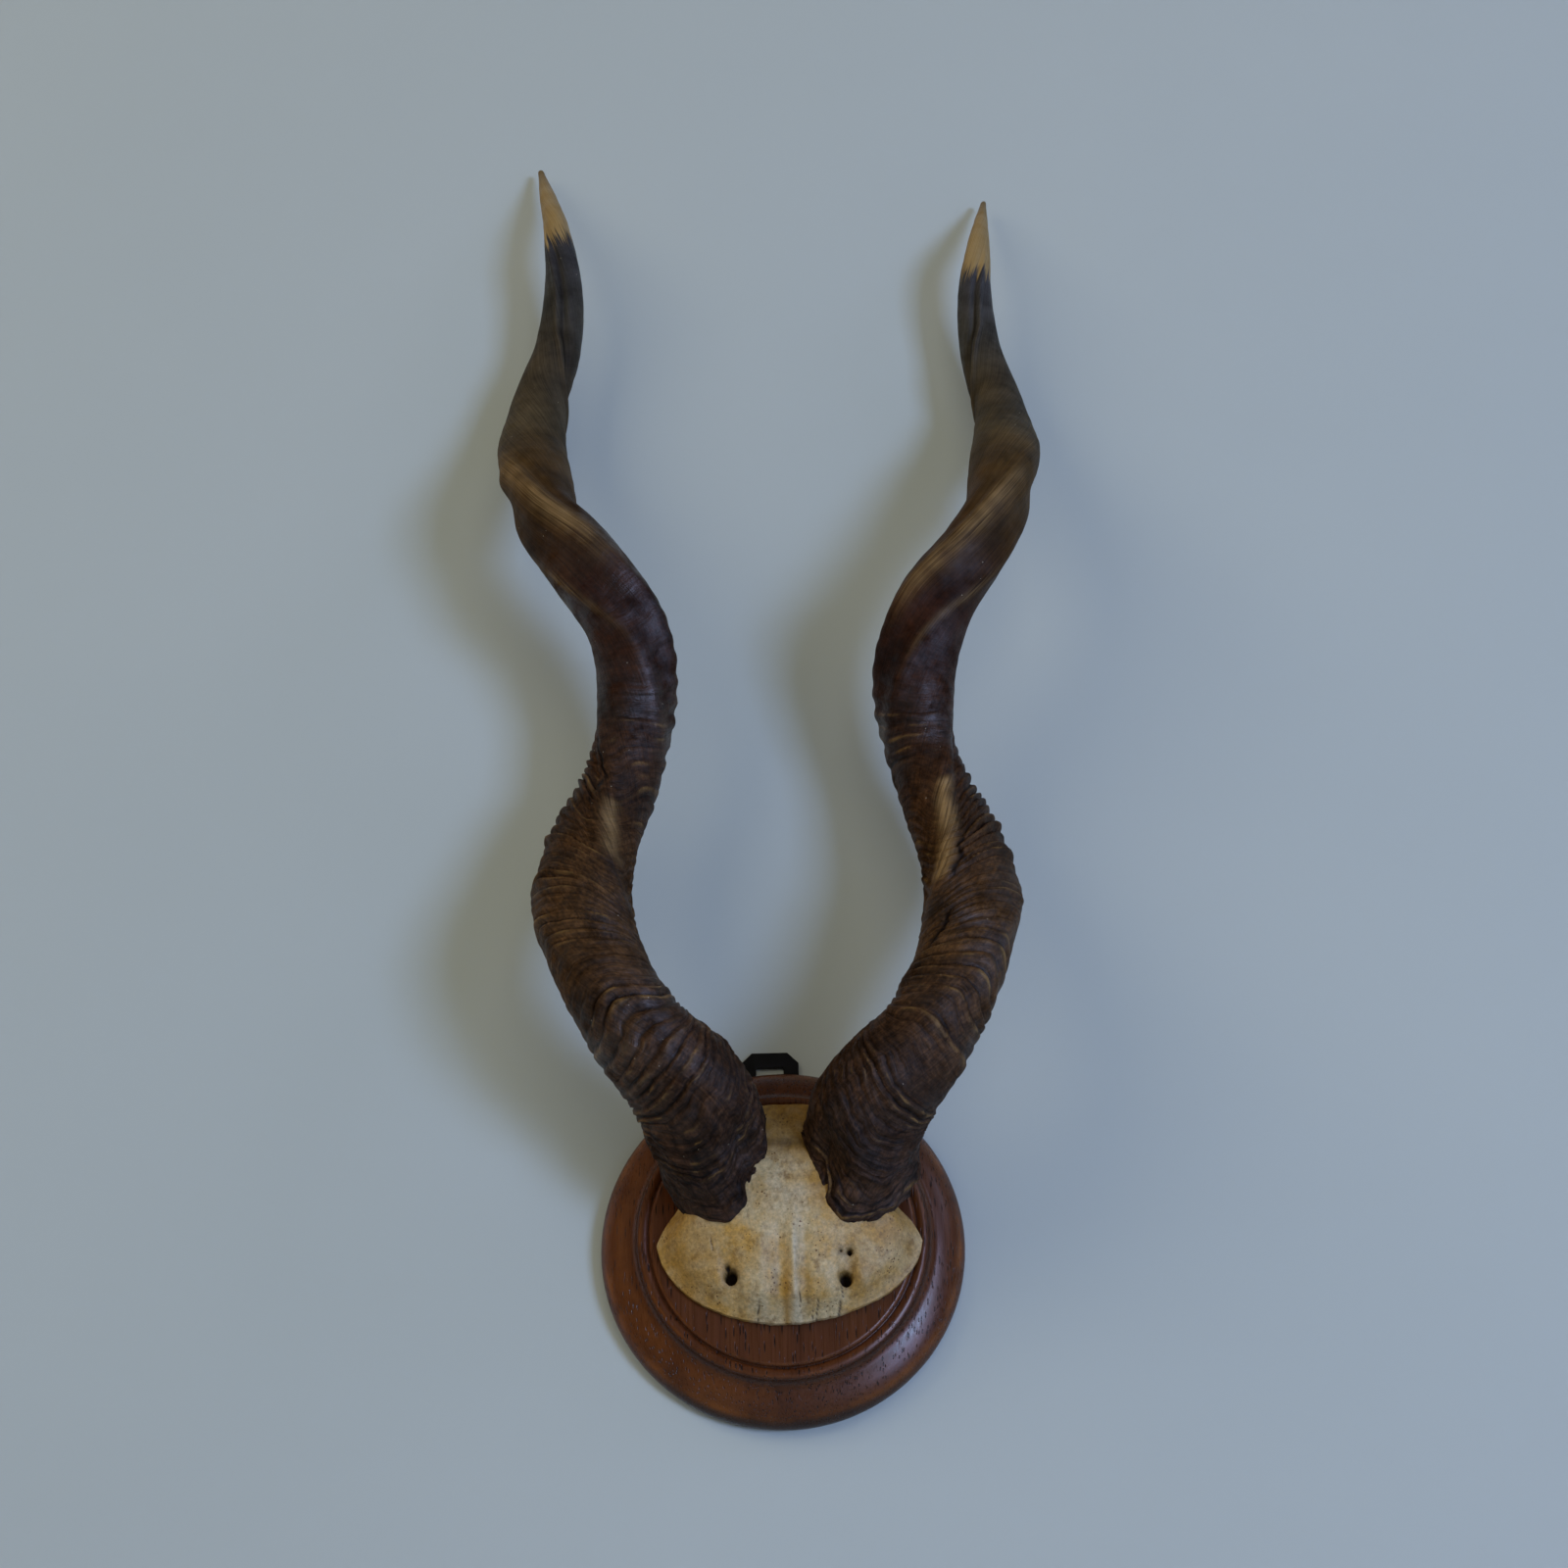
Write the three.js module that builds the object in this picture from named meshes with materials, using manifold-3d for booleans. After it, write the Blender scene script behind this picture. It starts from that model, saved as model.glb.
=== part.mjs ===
// A pair of kudu horns on their skull cap, screwed to a turned oak shield that hangs on a wall.
// Millimetres. +X is to the viewer's right, +Z is up, and -Y comes out of the wall.
// The origin is the centre of the shield's back, which lies flat on the wall at y = 0.

import * as THREE from 'three';
import { mergeVertices } from 'three/addons/utils/BufferGeometryUtils.js';
import Module from 'manifold-3d';

const wasm = await Module();
wasm.setup();

// ---------------------------------------------------------------- driving dimensions

const GAP = 0.3; // between two pieces that touch
const PAST = 5; // how far a cutting shape runs past the face it cuts

// Shield: a disc turned from one board.
const SHIELD_RADIUS = 118;
const SHIELD_THICKNESS = 37.5;
const RIM_HEIGHT = 15; // of the rounded outer edge
const SHOULDER_WIDTH = 11; // of the gently crowned band inside that edge
const SHOULDER_RISE = 4;
const BEAD_RADIUS = 88.7; // to the middle of the thin raised ring
const BEAD_WIDTH = 4;
const BEAD_HEIGHT = 4; // from its foot to the level of the shield's face
const FACE_RADIUS = 84.5; // of the flat raised centre
const SHIELD_SIDES = 48;

// Skull cap: the sawn-off forehead bone. It was set a little to the right of the shield's centre.
// Its outside is part of a flattened ball whose middle lies behind the shield's face.
const CAP_MIDDLE = 3.5;
const CAP_BACK = SHIELD_THICKNESS + GAP;
const DOME_HALF = 104; // across and up
const DOME_DEPTH = 58;
const DOME_SUNK = 20; // how far the ball's middle lies behind the bone's back
const DOME_UP = 26; // height of the ball's middle above the origin

// Half of the saw line round the bone, as [out from its middle, up], from the nose side to the crown.
const CAP_OUTLINE = [
  [0, -62],
  [35, -58],
  [63, -44],
  [76, -27],
  [84, -8],
  [81, 4],
  [69, 15],
  [65, 26],
  [60, 45],
  [42, 62],
  [16, 75],
];

// Horns: the middle line of each, from inside the bone to the tip, as [across, out of the wall, up,
// keel, half thickness]. The keel is the sharp ridge on the outside of the coil. Its angle is 0 where
// it faces the viewer and 90 where it points away from the other horn, and it goes on growing.
const LEFT_ROUTE = [
  [-31, 38, 10, -95, 33],
  [-41, 61, 33, -75, 33],
  [-54, 95, 71, -38, 34],
  [-88, 114, 111, 3, 32.5],
  [-115, 112, 158, 45, 28.5],
  [-126, 95, 208, 88, 28],
  [-122, 73, 260, 145, 29],
  [-103, 66, 312, 200, 25.5],
  [-93, 78, 364, 255, 23],
  [-97, 98, 413, 300, 25.5],
  [-125, 110, 461, 335, 25],
  [-154, 103, 508, 370, 24],
  [-167, 82, 555, 405, 24],
  [-174, 57, 604, 452, 22.5],
  [-172, 40, 656, 520, 20.5],
  [-159, 38, 709, 583, 16.5],
  [-155, 48, 763, 640, 13],
  [-161, 49, 817, 700, 10.5],
  [-171, 29, 869, 755, 7],
  [-181, 11, 919, 800, 2],
];
const RIGHT_ROUTE = [
  [38, 38, 8, -95, 33],
  [49, 61, 31, -75, 33],
  [59, 91, 65, -40, 33.5],
  [91, 112, 101, -3, 32],
  [117, 115, 145, 36, 28],
  [128, 101, 191, 76, 27.5],
  [129, 81, 237, 120, 27.5],
  [115, 68, 285, 172, 26],
  [102, 70, 334, 225, 23],
  [101, 85, 381, 272, 24.5],
  [115, 101, 426, 312, 25.5],
  [145, 109, 468, 343, 23.5],
  [165, 103, 511, 372, 23],
  [175, 84, 556, 408, 24],
  [180, 59, 602, 452, 20.5],
  [180, 40, 649, 512, 17.5],
  [169, 37, 698, 572, 15],
  [167, 46, 746, 622, 11.5],
  [172, 47, 790, 672, 9],
  [178, 29, 833, 718, 6],
  [184, 11, 873, 758, 2],
];
const HORN_SIDES = 16;
const HORN_RINGS = 62;
const KEEL_STRETCH = 0.16; // how much deeper than thick it is, towards the keel
const KEEL_POINT = 0.25; // how sharp the keel is
const FLANK_FULLNESS = 1.07; // makes up for the width that the sharp keel takes from the flanks

// Hanger: a flat steel plate let into the shield's back, with a slot for the wall hook.
const PLATE_MIDDLE = -6.3;
const PLATE_WIDTH = 39;
const PLATE_TOP = 135.5;
const PLATE_BOTTOM = 64;
const PLATE_THICKNESS = 2.6;
const PLATE_CHAMFER = 7.5;
const SLOT_WIDTH = 18.5;
const SLOT_TOP = 125;
const SLOT_BOTTOM = 98;

// Screws: radius, edge and height of the head, radius of the shank, whole length, and the head's slot.
const CAP_SCREW = { head: 4.8, edge: 0.5, sink: 3, shank: 2.4, length: 54, slot: 1.3, slotDepth: 1.1 };
const PLATE_SCREW = { head: 3.6, edge: 0.4, sink: 2.2, shank: 1.7, length: 17, slot: 1, slotDepth: 0.8 };
const SCREW_POINT = 0.4; // radius of the blunt point
const CAP_SCREW_BACK = 0.6; // how far its head lies below the shield's back
const CAP_SCREWS = {
  cap_screw_left: [-36, 22],
  cap_screw_right: [43, 22],
  cap_screw_lower: [3.5, -32],
};
const PLATE_SCREWS = {
  hanger_screw_upper: [PLATE_MIDDLE, 89],
  hanger_screw_lower: [PLATE_MIDDLE, 72],
};
const SCREW_SIDES = 16;

// ---------------------------------------------------------------- materials

const stainedOak = new THREE.MeshStandardMaterial({ color: 0x4a2213, roughness: 0.42, metalness: 0 });
const dryBone = new THREE.MeshStandardMaterial({ color: 0xc9b184, roughness: 0.7, metalness: 0 });
const hornKeratin = new THREE.MeshStandardMaterial({ color: 0x2b1c14, roughness: 0.5, metalness: 0 });
const blackSteel = new THREE.MeshStandardMaterial({ color: 0x121213, roughness: 0.4, metalness: 0.6 });
const brightSteel = new THREE.MeshStandardMaterial({ color: 0x8c8477, roughness: 0.4, metalness: 1 });

// ---------------------------------------------------------------- solids

// The same surface with each corner stored once, and without triangles that have collapsed to a line.
function closed(geometry) {
  const bare = geometry.clone();
  bare.deleteAttribute('normal');
  bare.deleteAttribute('uv');
  const merged = mergeVertices(bare, 1e-4);
  const kept = [];
  const index = merged.index.array;
  for (let i = 0; i < index.length; i += 3) {
    const [a, b, c] = [index[i], index[i + 1], index[i + 2]];
    if (a !== b && b !== c && c !== a) kept.push(a, b, c);
  }
  merged.setIndex(kept);
  return merged;
}

function solid(geometry) {
  const merged = closed(geometry);
  const mesh = new wasm.Mesh({
    numProp: 3,
    vertProperties: new Float32Array(merged.attributes.position.array),
    triVerts: new Uint32Array(merged.index.array),
  });
  return new wasm.Manifold(mesh);
}

function geometryOf(body) {
  const mesh = body.getMesh();
  const geometry = new THREE.BufferGeometry();
  geometry.setAttribute('position', new THREE.Float32BufferAttribute(mesh.vertProperties, 3));
  geometry.setIndex([...mesh.triVerts]);
  geometry.computeVertexNormals();
  return geometry;
}

// A turned shape from [radius, height] points. Its height runs out of the wall.
function turned(points, sides) {
  const profile = points.map(([radius, height]) => new THREE.Vector2(radius, height));
  return new THREE.LatheGeometry(profile, sides).rotateX(Math.PI);
}

// A flat outline in X and Z, extruded out of the wall from one depth to another.
function board(shape, from, to) {
  const geometry = new THREE.ExtrudeGeometry(shape, { depth: to - from, bevelEnabled: false });
  return geometry.rotateX(Math.PI / 2).translate(0, -from, 0);
}

function outline(points) {
  return new THREE.Shape(points.map(([x, z]) => new THREE.Vector2(x, z)));
}

const group = new THREE.Group();

function addPart(name, geometry, material) {
  const mesh = new THREE.Mesh(geometry, material);
  mesh.name = name;
  group.add(mesh);
}

// ---------------------------------------------------------------- screws

// A countersunk wood screw with its head at the back. With a margin it is the hole for that screw.
function screwShape(size, margin) {
  const back = margin > 0 ? -PAST : 0;
  const points = [
    [0, back],
    [size.head + margin, back],
    [size.head + margin, size.edge],
    [size.shank + margin, size.sink + margin],
    [size.shank + margin, size.length - 2 * size.shank],
    [SCREW_POINT, size.length + margin],
    [0, size.length + margin],
  ];
  return turned(points, SCREW_SIDES);
}

function placeScrew(geometry, [across, up], depth) {
  return geometry.translate(across, -depth, up);
}

function screw(size, place, depth) {
  const body = solid(placeScrew(screwShape(size, 0), place, depth));
  const slot = new THREE.BoxGeometry(4 * size.head, 2 * size.slotDepth, size.slot);
  return geometryOf(body.subtract(solid(placeScrew(slot, place, depth))));
}

function screwHoles(places, size, depth) {
  return Object.values(places).map((place) => solid(placeScrew(screwShape(size, GAP), place, depth)));
}

const capScrewHoles = screwHoles(CAP_SCREWS, CAP_SCREW, CAP_SCREW_BACK);
const plateScrewHoles = screwHoles(PLATE_SCREWS, PLATE_SCREW, GAP);

for (const [name, place] of Object.entries(CAP_SCREWS)) {
  addPart(name, screw(CAP_SCREW, place, CAP_SCREW_BACK), brightSteel);
}
for (const [name, place] of Object.entries(PLATE_SCREWS)) {
  addPart(name, screw(PLATE_SCREW, place, GAP), brightSteel);
}

// ---------------------------------------------------------------- hanger plate

function plateOutline(margin, top) {
  const half = PLATE_WIDTH / 2 + margin;
  const cut = PLATE_CHAMFER;
  const low = PLATE_BOTTOM - margin;
  return outline([
    [PLATE_MIDDLE - half + cut, low],
    [PLATE_MIDDLE + half - cut, low],
    [PLATE_MIDDLE + half, low + cut],
    [PLATE_MIDDLE + half, top - cut],
    [PLATE_MIDDLE + half - cut, top],
    [PLATE_MIDDLE - half + cut, top],
    [PLATE_MIDDLE - half, top - cut],
    [PLATE_MIDDLE - half, low + cut],
  ]);
}

function hangerPlate() {
  const slot = outline([
    [PLATE_MIDDLE - SLOT_WIDTH / 2, SLOT_BOTTOM],
    [PLATE_MIDDLE + SLOT_WIDTH / 2, SLOT_BOTTOM],
    [PLATE_MIDDLE + SLOT_WIDTH / 2, SLOT_TOP],
    [PLATE_MIDDLE - SLOT_WIDTH / 2, SLOT_TOP],
  ]);
  const plate = plateOutline(0, PLATE_TOP);
  plate.holes.push(slot);
  const blank = solid(board(plate, GAP, GAP + PLATE_THICKNESS));
  return geometryOf(plateScrewHoles.reduce((body, hole) => body.subtract(hole), blank));
}

addPart('hanger_plate', hangerPlate(), blackSteel);

// ---------------------------------------------------------------- shield

// Points along a bow from one place to another. Its bulge is a share of the straight distance.
function arc(fromX, fromY, toX, toY, bulge, steps) {
  const middle = new THREE.Vector2((fromX + toX) / 2, (fromY + toY) / 2);
  const side = new THREE.Vector2(fromY - toY, toX - fromX).multiplyScalar(bulge);
  const curve = new THREE.QuadraticBezierCurve(
    new THREE.Vector2(fromX, fromY),
    middle.add(side),
    new THREE.Vector2(toX, toY),
  );
  return curve.getPoints(steps).map((point) => [point.x, point.y]);
}

// Half the shield's section, from the middle of its back, round the edge, to the middle of its face.
function shieldProfile() {
  const beadOut = BEAD_RADIUS + BEAD_WIDTH / 2;
  const beadIn = BEAD_RADIUS - BEAD_WIDTH / 2;
  const foot = SHIELD_THICKNESS - BEAD_HEIGHT;
  const beadSide = foot + BEAD_HEIGHT / 3;
  const shoulder = SHIELD_RADIUS - SHOULDER_WIDTH;
  const shoulderHeight = RIM_HEIGHT + SHOULDER_RISE;
  return [
    [0, 0],
    [SHIELD_RADIUS - 4, 0],
    ...arc(SHIELD_RADIUS - 1.5, 2, SHIELD_RADIUS - 3, RIM_HEIGHT, -0.35, 4),
    ...arc(SHIELD_RADIUS - 4, RIM_HEIGHT + 0.5, shoulder, shoulderHeight, -0.12, 3),
    ...arc(shoulder - 1, shoulderHeight + 0.4, beadOut + 0.5, foot - 2, 0.22, 5),
    [beadOut, foot],
    ...arc(beadOut, beadSide, beadIn, beadSide, -0.5, 4),
    [beadIn, foot],
    [FACE_RADIUS + 0.8, foot],
    [FACE_RADIUS, SHIELD_THICKNESS],
    [0, SHIELD_THICKNESS],
  ];
}

function shield() {
  const disc = solid(turned(shieldProfile(), SHIELD_SIDES));
  const recessTop = PLATE_TOP + PAST;
  const recess = solid(board(plateOutline(GAP, recessTop), -PAST, PLATE_THICKNESS + 2 * GAP));
  const cuts = [recess, ...capScrewHoles, ...plateScrewHoles];
  return geometryOf(cuts.reduce((body, cut) => body.subtract(cut), disc));
}

addPart('shield', shield(), stainedOak);

// ---------------------------------------------------------------- skull cap

// The ball that gives the bone its rounded outside.
function dome(margin) {
  const ball = new THREE.SphereGeometry(1, 36, 20);
  ball.scale(DOME_HALF + margin, DOME_DEPTH + margin, DOME_HALF + margin);
  return solid(ball.translate(CAP_MIDDLE, DOME_SUNK - CAP_BACK, DOME_UP));
}

function skullCap() {
  const right = CAP_OUTLINE.map(([out, up]) => [CAP_MIDDLE + out, up]);
  const left = CAP_OUTLINE.slice(1).map(([out, up]) => [CAP_MIDDLE - out, up]);
  const sawLine = outline([...right, ...left.reverse()]);
  const sawn = solid(board(sawLine, CAP_BACK, CAP_BACK + DOME_DEPTH));
  const bone = dome(0).intersect(sawn);
  return geometryOf(capScrewHoles.reduce((body, hole) => body.subtract(hole), bone));
}

addPart('skull_cap', skullCap(), dryBone);

// ---------------------------------------------------------------- horns

// The way the keel points, before it is squared to the horn.
function keelDirection(degrees, outward) {
  const turn = THREE.MathUtils.degToRad(degrees);
  return new THREE.Vector3(outward * Math.sin(turn), -Math.cos(turn), 0);
}

// A closed cylinder bent along the route. Each ring is rounder inside the coil and keeled outside it.
function hornBlank(route, outward) {
  const stations = route.map(([across, out, up]) => new THREE.Vector3(across, -out, up));
  const curve = new THREE.CatmullRomCurve3(stations, false, 'centripetal');
  curve.arcLengthDivisions = 1000;
  const sections = new THREE.SplineCurve(route.map((station) => new THREE.Vector2(station[3], station[4])));
  const blank = new THREE.CylinderGeometry(1, 1, 1, HORN_SIDES, HORN_RINGS);
  const corners = blank.attributes.position;
  for (let i = 0; i < corners.count; i++) {
    const share = THREE.MathUtils.clamp(corners.getY(i) + 0.5, 0, 1);
    const radial = Math.hypot(corners.getX(i), corners.getZ(i));
    const around = Math.atan2(corners.getX(i), corners.getZ(i));
    const middle = curve.getPointAt(share);
    const along = curve.getTangentAt(share);
    const section = sections.getPoint(curve.getUtoTmapping(share));
    const keel = keelDirection(section.x, outward);
    keel.addScaledVector(along, -keel.dot(along)).normalize();
    const side = new THREE.Vector3().crossVectors(along, keel);
    const half = radial * section.y;
    const depth = half * (1 + KEEL_STRETCH) * Math.cos(around);
    const flank = half * FLANK_FULLNESS * Math.abs(Math.sin(around / 2)) ** KEEL_POINT;
    const width = flank * Math.sin(around);
    middle.addScaledVector(keel, depth).addScaledVector(side, width);
    corners.setXYZ(i, middle.x, middle.y, middle.z);
  }
  return solid(blank);
}

function horn(route, outward) {
  return geometryOf(hornBlank(route, outward).subtract(dome(GAP)));
}

addPart('horn_left', horn(LEFT_ROUTE, -1), hornKeratin);
addPart('horn_right', horn(RIGHT_ROUTE, 1), hornKeratin);

export default group;
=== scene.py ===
# %% [markdown]
# # A pair of kudu horns on an oak shield
# A greater kudu's horns grow as two open corkscrews from the forehead. Here the forehead bone was
# sawn off with both horns on it and screwed to a round turned shield, which hangs on a wall by a
# slotted steel plate. The solids that carry weight are loaded first, and each is then given its
# real surface: ringed keratin, dry bone, stained oak, black steel.

# %% Load the frame
import math

import bmesh
import bpy
import numpy as np
from mathutils import Matrix, Vector, noise


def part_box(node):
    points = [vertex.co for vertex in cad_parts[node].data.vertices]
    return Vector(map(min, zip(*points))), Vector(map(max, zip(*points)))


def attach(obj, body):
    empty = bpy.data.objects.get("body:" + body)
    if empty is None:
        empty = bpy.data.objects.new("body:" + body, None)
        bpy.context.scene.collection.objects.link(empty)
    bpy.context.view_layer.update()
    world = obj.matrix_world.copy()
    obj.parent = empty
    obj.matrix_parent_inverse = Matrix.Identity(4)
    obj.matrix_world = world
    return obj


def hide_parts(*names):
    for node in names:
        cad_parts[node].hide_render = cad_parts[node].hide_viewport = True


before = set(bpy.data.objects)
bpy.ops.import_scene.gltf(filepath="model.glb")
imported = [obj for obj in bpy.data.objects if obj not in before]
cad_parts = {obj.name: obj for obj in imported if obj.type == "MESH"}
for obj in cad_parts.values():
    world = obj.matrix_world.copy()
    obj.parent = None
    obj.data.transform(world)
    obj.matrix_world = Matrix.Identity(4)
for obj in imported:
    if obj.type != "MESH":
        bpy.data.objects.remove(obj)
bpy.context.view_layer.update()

MM = 0.001
print("pieces in the frame:", sorted(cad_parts))

# %% [markdown]
# ## Camera
# The trophy hangs above eye level, so it is seen from below at about 28 degrees, through a lens a
# little longer than normal. It hangs very slightly out of true, and the camera is rolled by the
# same small angle instead of the object, which stays square in its frame.

# %% Camera
CAMERA_TARGET = Vector((0.0082, 0, 0.343))
CAMERA_DISTANCE = 1.692
CAMERA_BELOW = math.radians(28)
CAMERA_ROLL = math.radians(-1.45)
LENS = 54  # mm, on a sensor 36 mm wide

camera = bpy.data.objects.new("camera", bpy.data.cameras.new("camera"))
camera.data.lens = LENS
camera.data.sensor_width = 36
towards_camera = Vector((0, -math.cos(CAMERA_BELOW), -math.sin(CAMERA_BELOW)))
across = Vector((1, 0, 0))
upwards = towards_camera.cross(across)
turn = Matrix.Rotation(CAMERA_ROLL, 3, towards_camera)
axes = Matrix((turn @ across, turn @ upwards, towards_camera)).transposed()
camera.matrix_world = axes.to_4x4()
camera.location = CAMERA_TARGET + CAMERA_DISTANCE * towards_camera
bpy.context.scene.collection.objects.link(camera)
bpy.context.scene.camera = camera
print("camera at", [round(v, 3) for v in camera.location])

# %% [markdown]
# ## Light and stage
# The trophy hangs higher than the window, so the large soft key light comes from the right, the
# front and below. Each horn throws a soft shadow to the left on the pale wall, and its right flank
# gets a violet-white sheen. The low and the high window add only sheen. Wide lights in the room and
# a weak sky fill the rest. The wall shows only its front: seen from behind it is transparent, so the
# object can be looked at from every side.

# %% Colour and node helpers
def linear(colour):
    """An sRGB hex colour as the four linear values that a shader takes."""
    parts = [int(colour[i:i + 2], 16) / 255 for i in (1, 3, 5)]
    return [p / 12.92 if p < 0.04045 else ((p + 0.055) / 1.055) ** 2.4 for p in parts] + [1]


def add(tree, kind, inputs=None, **settings):
    """Adds a node. An input is given a value, or is linked when it gets another node's output."""
    made = tree.nodes.new("ShaderNode" + kind)
    for name, value in settings.items():
        setattr(made, name, value)
    for name, value in (inputs or {}).items():
        if isinstance(value, bpy.types.NodeSocket):
            tree.links.new(value, made.inputs[name])
        else:
            made.inputs[name].default_value = value
    return made


def new_material(name):
    """An empty material with its output node."""
    material = bpy.data.materials.new(name)
    material.use_nodes = True
    material.node_tree.nodes.clear()
    return material, material.node_tree, add(material.node_tree, "OutputMaterial")


# %% World and lights
bpy.context.scene.view_settings.view_transform = "Standard"
world = bpy.data.worlds.new("room")
world.use_nodes = True
bpy.context.scene.world = world
world.node_tree.nodes["Background"].inputs["Color"].default_value = linear("#fbfaf0")
world.node_tree.nodes["Background"].inputs["Strength"].default_value = 0.1


def soft_light(name, place, width, watts, colour, sheen=True, fill=True):
    """A square area light that faces what the camera looks at."""
    light = bpy.data.lights.new(name, "AREA")
    light.size = width
    light.energy = watts
    light.color = linear(colour)[:3]
    lamp = bpy.data.objects.new(name, light)
    lamp.location = place
    aim = CAMERA_TARGET - lamp.location
    lamp.rotation_euler = aim.to_track_quat("-Z", "Y").to_euler()
    lamp.visible_glossy = sheen
    lamp.visible_diffuse = fill
    bpy.context.scene.collection.objects.link(lamp)


soft_light("window", (2.9, -3.9, -0.75), 1.25, 98, "#b2cfff")
soft_light("window_side", (4.3, -2.2, 2.6), 1.6, 16, "#c9d2ff")
soft_light("window_low", (1.85, -1.6, -0.98), 1.1, 26, "#c8ccff", fill=False)
soft_light("window_high", (2.85, -3.9, 0.62), 1.1, 42, "#ccccff", fill=False)
soft_light("room", (-3.6, -3.2, 2.2), 3.5, 62, "#fff6d8", sheen=False)
soft_light("room_front", (0.4, -5.0, 1.6), 3.0, 25, "#fff6d8", sheen=False)
soft_light("room_behind", (1.5, 4.0, 1.8), 3.0, 26, "#fff6e2", sheen=False)

# %% Wall and floor
WALL_HALF = 3.0
WALL_GAP = 0.4 * MM  # between the wall and the flat back of the object
FLOOR_DROP = -2.4

wall_paint, tree, output = new_material("matt pale wall paint")
coords = add(tree, "TexCoord").outputs["Object"]
mottle = add(tree, "TexNoise", {"Vector": coords, "Scale": 2.5, "Detail": 3})
# A Mix node takes its two colours at inputs 6 and 7, and gives the result at output 2.
tint = add(tree, "Mix", {"Factor": mottle.outputs["Fac"], 6: linear("#cbd3d4"), 7: linear("#d2d9d9")},
           data_type="RGBA")
paint = add(tree, "BsdfPrincipled", {"Base Color": tint.outputs[2], "Roughness": 0.9})
clear = add(tree, "BsdfTransparent")
facing = add(tree, "NewGeometry").outputs["Backfacing"]
one_sided = add(tree, "MixShader", {0: facing, 1: paint.outputs[0], 2: clear.outputs[0]})
tree.links.new(one_sided.outputs[0], output.inputs["Surface"])


def stage_plane(name, matrix, half):
    """A square plane of the stage."""
    bm = bmesh.new()
    bmesh.ops.create_grid(bm, x_segments=1, y_segments=1, size=half, matrix=matrix)
    mesh = bpy.data.meshes.new(name)
    bm.to_mesh(mesh)
    bm.free()
    mesh.materials.append(wall_paint)
    plane = bpy.data.objects.new(name, mesh)
    bpy.context.scene.collection.objects.link(plane)
    return plane


wall_place = Matrix.Translation((0, WALL_GAP, FLOOR_DROP + WALL_HALF))
upright = wall_place @ Matrix.Rotation(math.pi / 2, 4, "X")
wall = stage_plane("wall", upright, WALL_HALF)
wall.visible_shadow = False
wall.visible_diffuse = False
stage_plane("floor", Matrix.Translation((0, 0, FLOOR_DROP)), 3 * WALL_HALF)
print("wall faces", [round(v) for v in wall.data.polygons[0].normal])

# %% [markdown]
# ## How the pieces are made
# The skull cap and the horns start as a plain primitive with enough rings and sides. Its points are
# then carried to their places by formulas: a drum bent along a curve is a horn, and a ball pulled
# out to the saw line is the skull cap. That keeps the mesh mostly in quads, which shade smoothly,
# and the shape in a few readable numbers. The shield and the screws are spun from half a section,
# the hanging plate is extruded from its outline, and their holes and slots are then cut.

# %% Mesh helpers
def smoothstep(low, high, value):
    """0 below low, 1 above high and a smooth S between them."""
    share = np.clip((value - low) / (high - low), 0, 1)
    return share * share * (3 - 2 * share)


def bump_at(value, middle, width):
    """A bell curve that is 1 at the middle."""
    return np.exp(-(((value - middle) / width) ** 2))


def noise_at(points, size, seed):
    """Smooth noise from about -1 to 1 at each point, with lumps of that size."""
    shift = Vector((seed * 7.13, seed * 3.71, seed * 5.39))
    return np.array([noise.noise(Vector(p) / size + shift) for p in points])


def points_of(mesh):
    values = np.zeros(len(mesh.vertices) * 3)
    mesh.vertices.foreach_get("co", values)
    return values.reshape(-1, 3)


def move_points(mesh, points):
    """Puts the points in their places, and turns every face outwards."""
    mesh.vertices.foreach_set("co", points.astype(np.float32).ravel())
    bm = bmesh.new()
    bm.from_mesh(mesh)
    bmesh.ops.recalc_face_normals(bm, faces=bm.faces)
    bm.to_mesh(mesh)
    bm.free()


def store(mesh, name, values, kind="FLOAT"):
    """Keeps a value at each point for the material to read."""
    attribute = mesh.attributes.new(name, kind, "POINT")
    field = "value" if kind == "FLOAT" else "vector"
    attribute.data.foreach_set(field, np.asarray(values, dtype=np.float32).ravel())


def place_piece(name, mesh, material, slot, *nodes):
    """Links a finished mesh, which stands for those nodes of the frame."""
    mesh.materials.append(material)
    mesh.shade_smooth()
    piece = bpy.data.objects.new(name, mesh)
    bpy.context.scene.collection.objects.link(piece)
    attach(piece, "root")
    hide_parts(*nodes)
    print(name, "has", len(mesh.polygons), "faces")


# %% [markdown]
# ## Bone: finish
# Dry bone that was boiled and bleached long ago: cream where it is clean, honey yellow where fat and
# varnish have soaked in, mostly along the lobes and up the neck. Painted shade darkens the valleys
# beside the midline ridge, where a yellow-brown streak is partly stain and partly painted shade, and
# the ridge's crest is painted lighter as a highlight; the brow holes, the cracks and the top of the
# neck are darker. Its surface is matt and finely pitted, which shows as dark specks around the brow
# holes.

# %% Bone material
bone_finish, tree, output = new_material("dry bone, cream with yellow stains")
coords = add(tree, "TexCoord").outputs["Object"]
patches = add(tree, "TexNoise", {"Vector": coords, "Scale": 38, "Detail": 6, "Roughness": 0.64})
stain = add(tree, "ValToRGB", {"Fac": patches.outputs["Fac"]})
stain.color_ramp.elements[0].position = 0.42
stain.color_ramp.elements[0].color = linear("#dcc294")
stain.color_ramp.elements[1].position = 0.62
stain.color_ramp.elements[1].color = linear("#cfa256")
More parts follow.
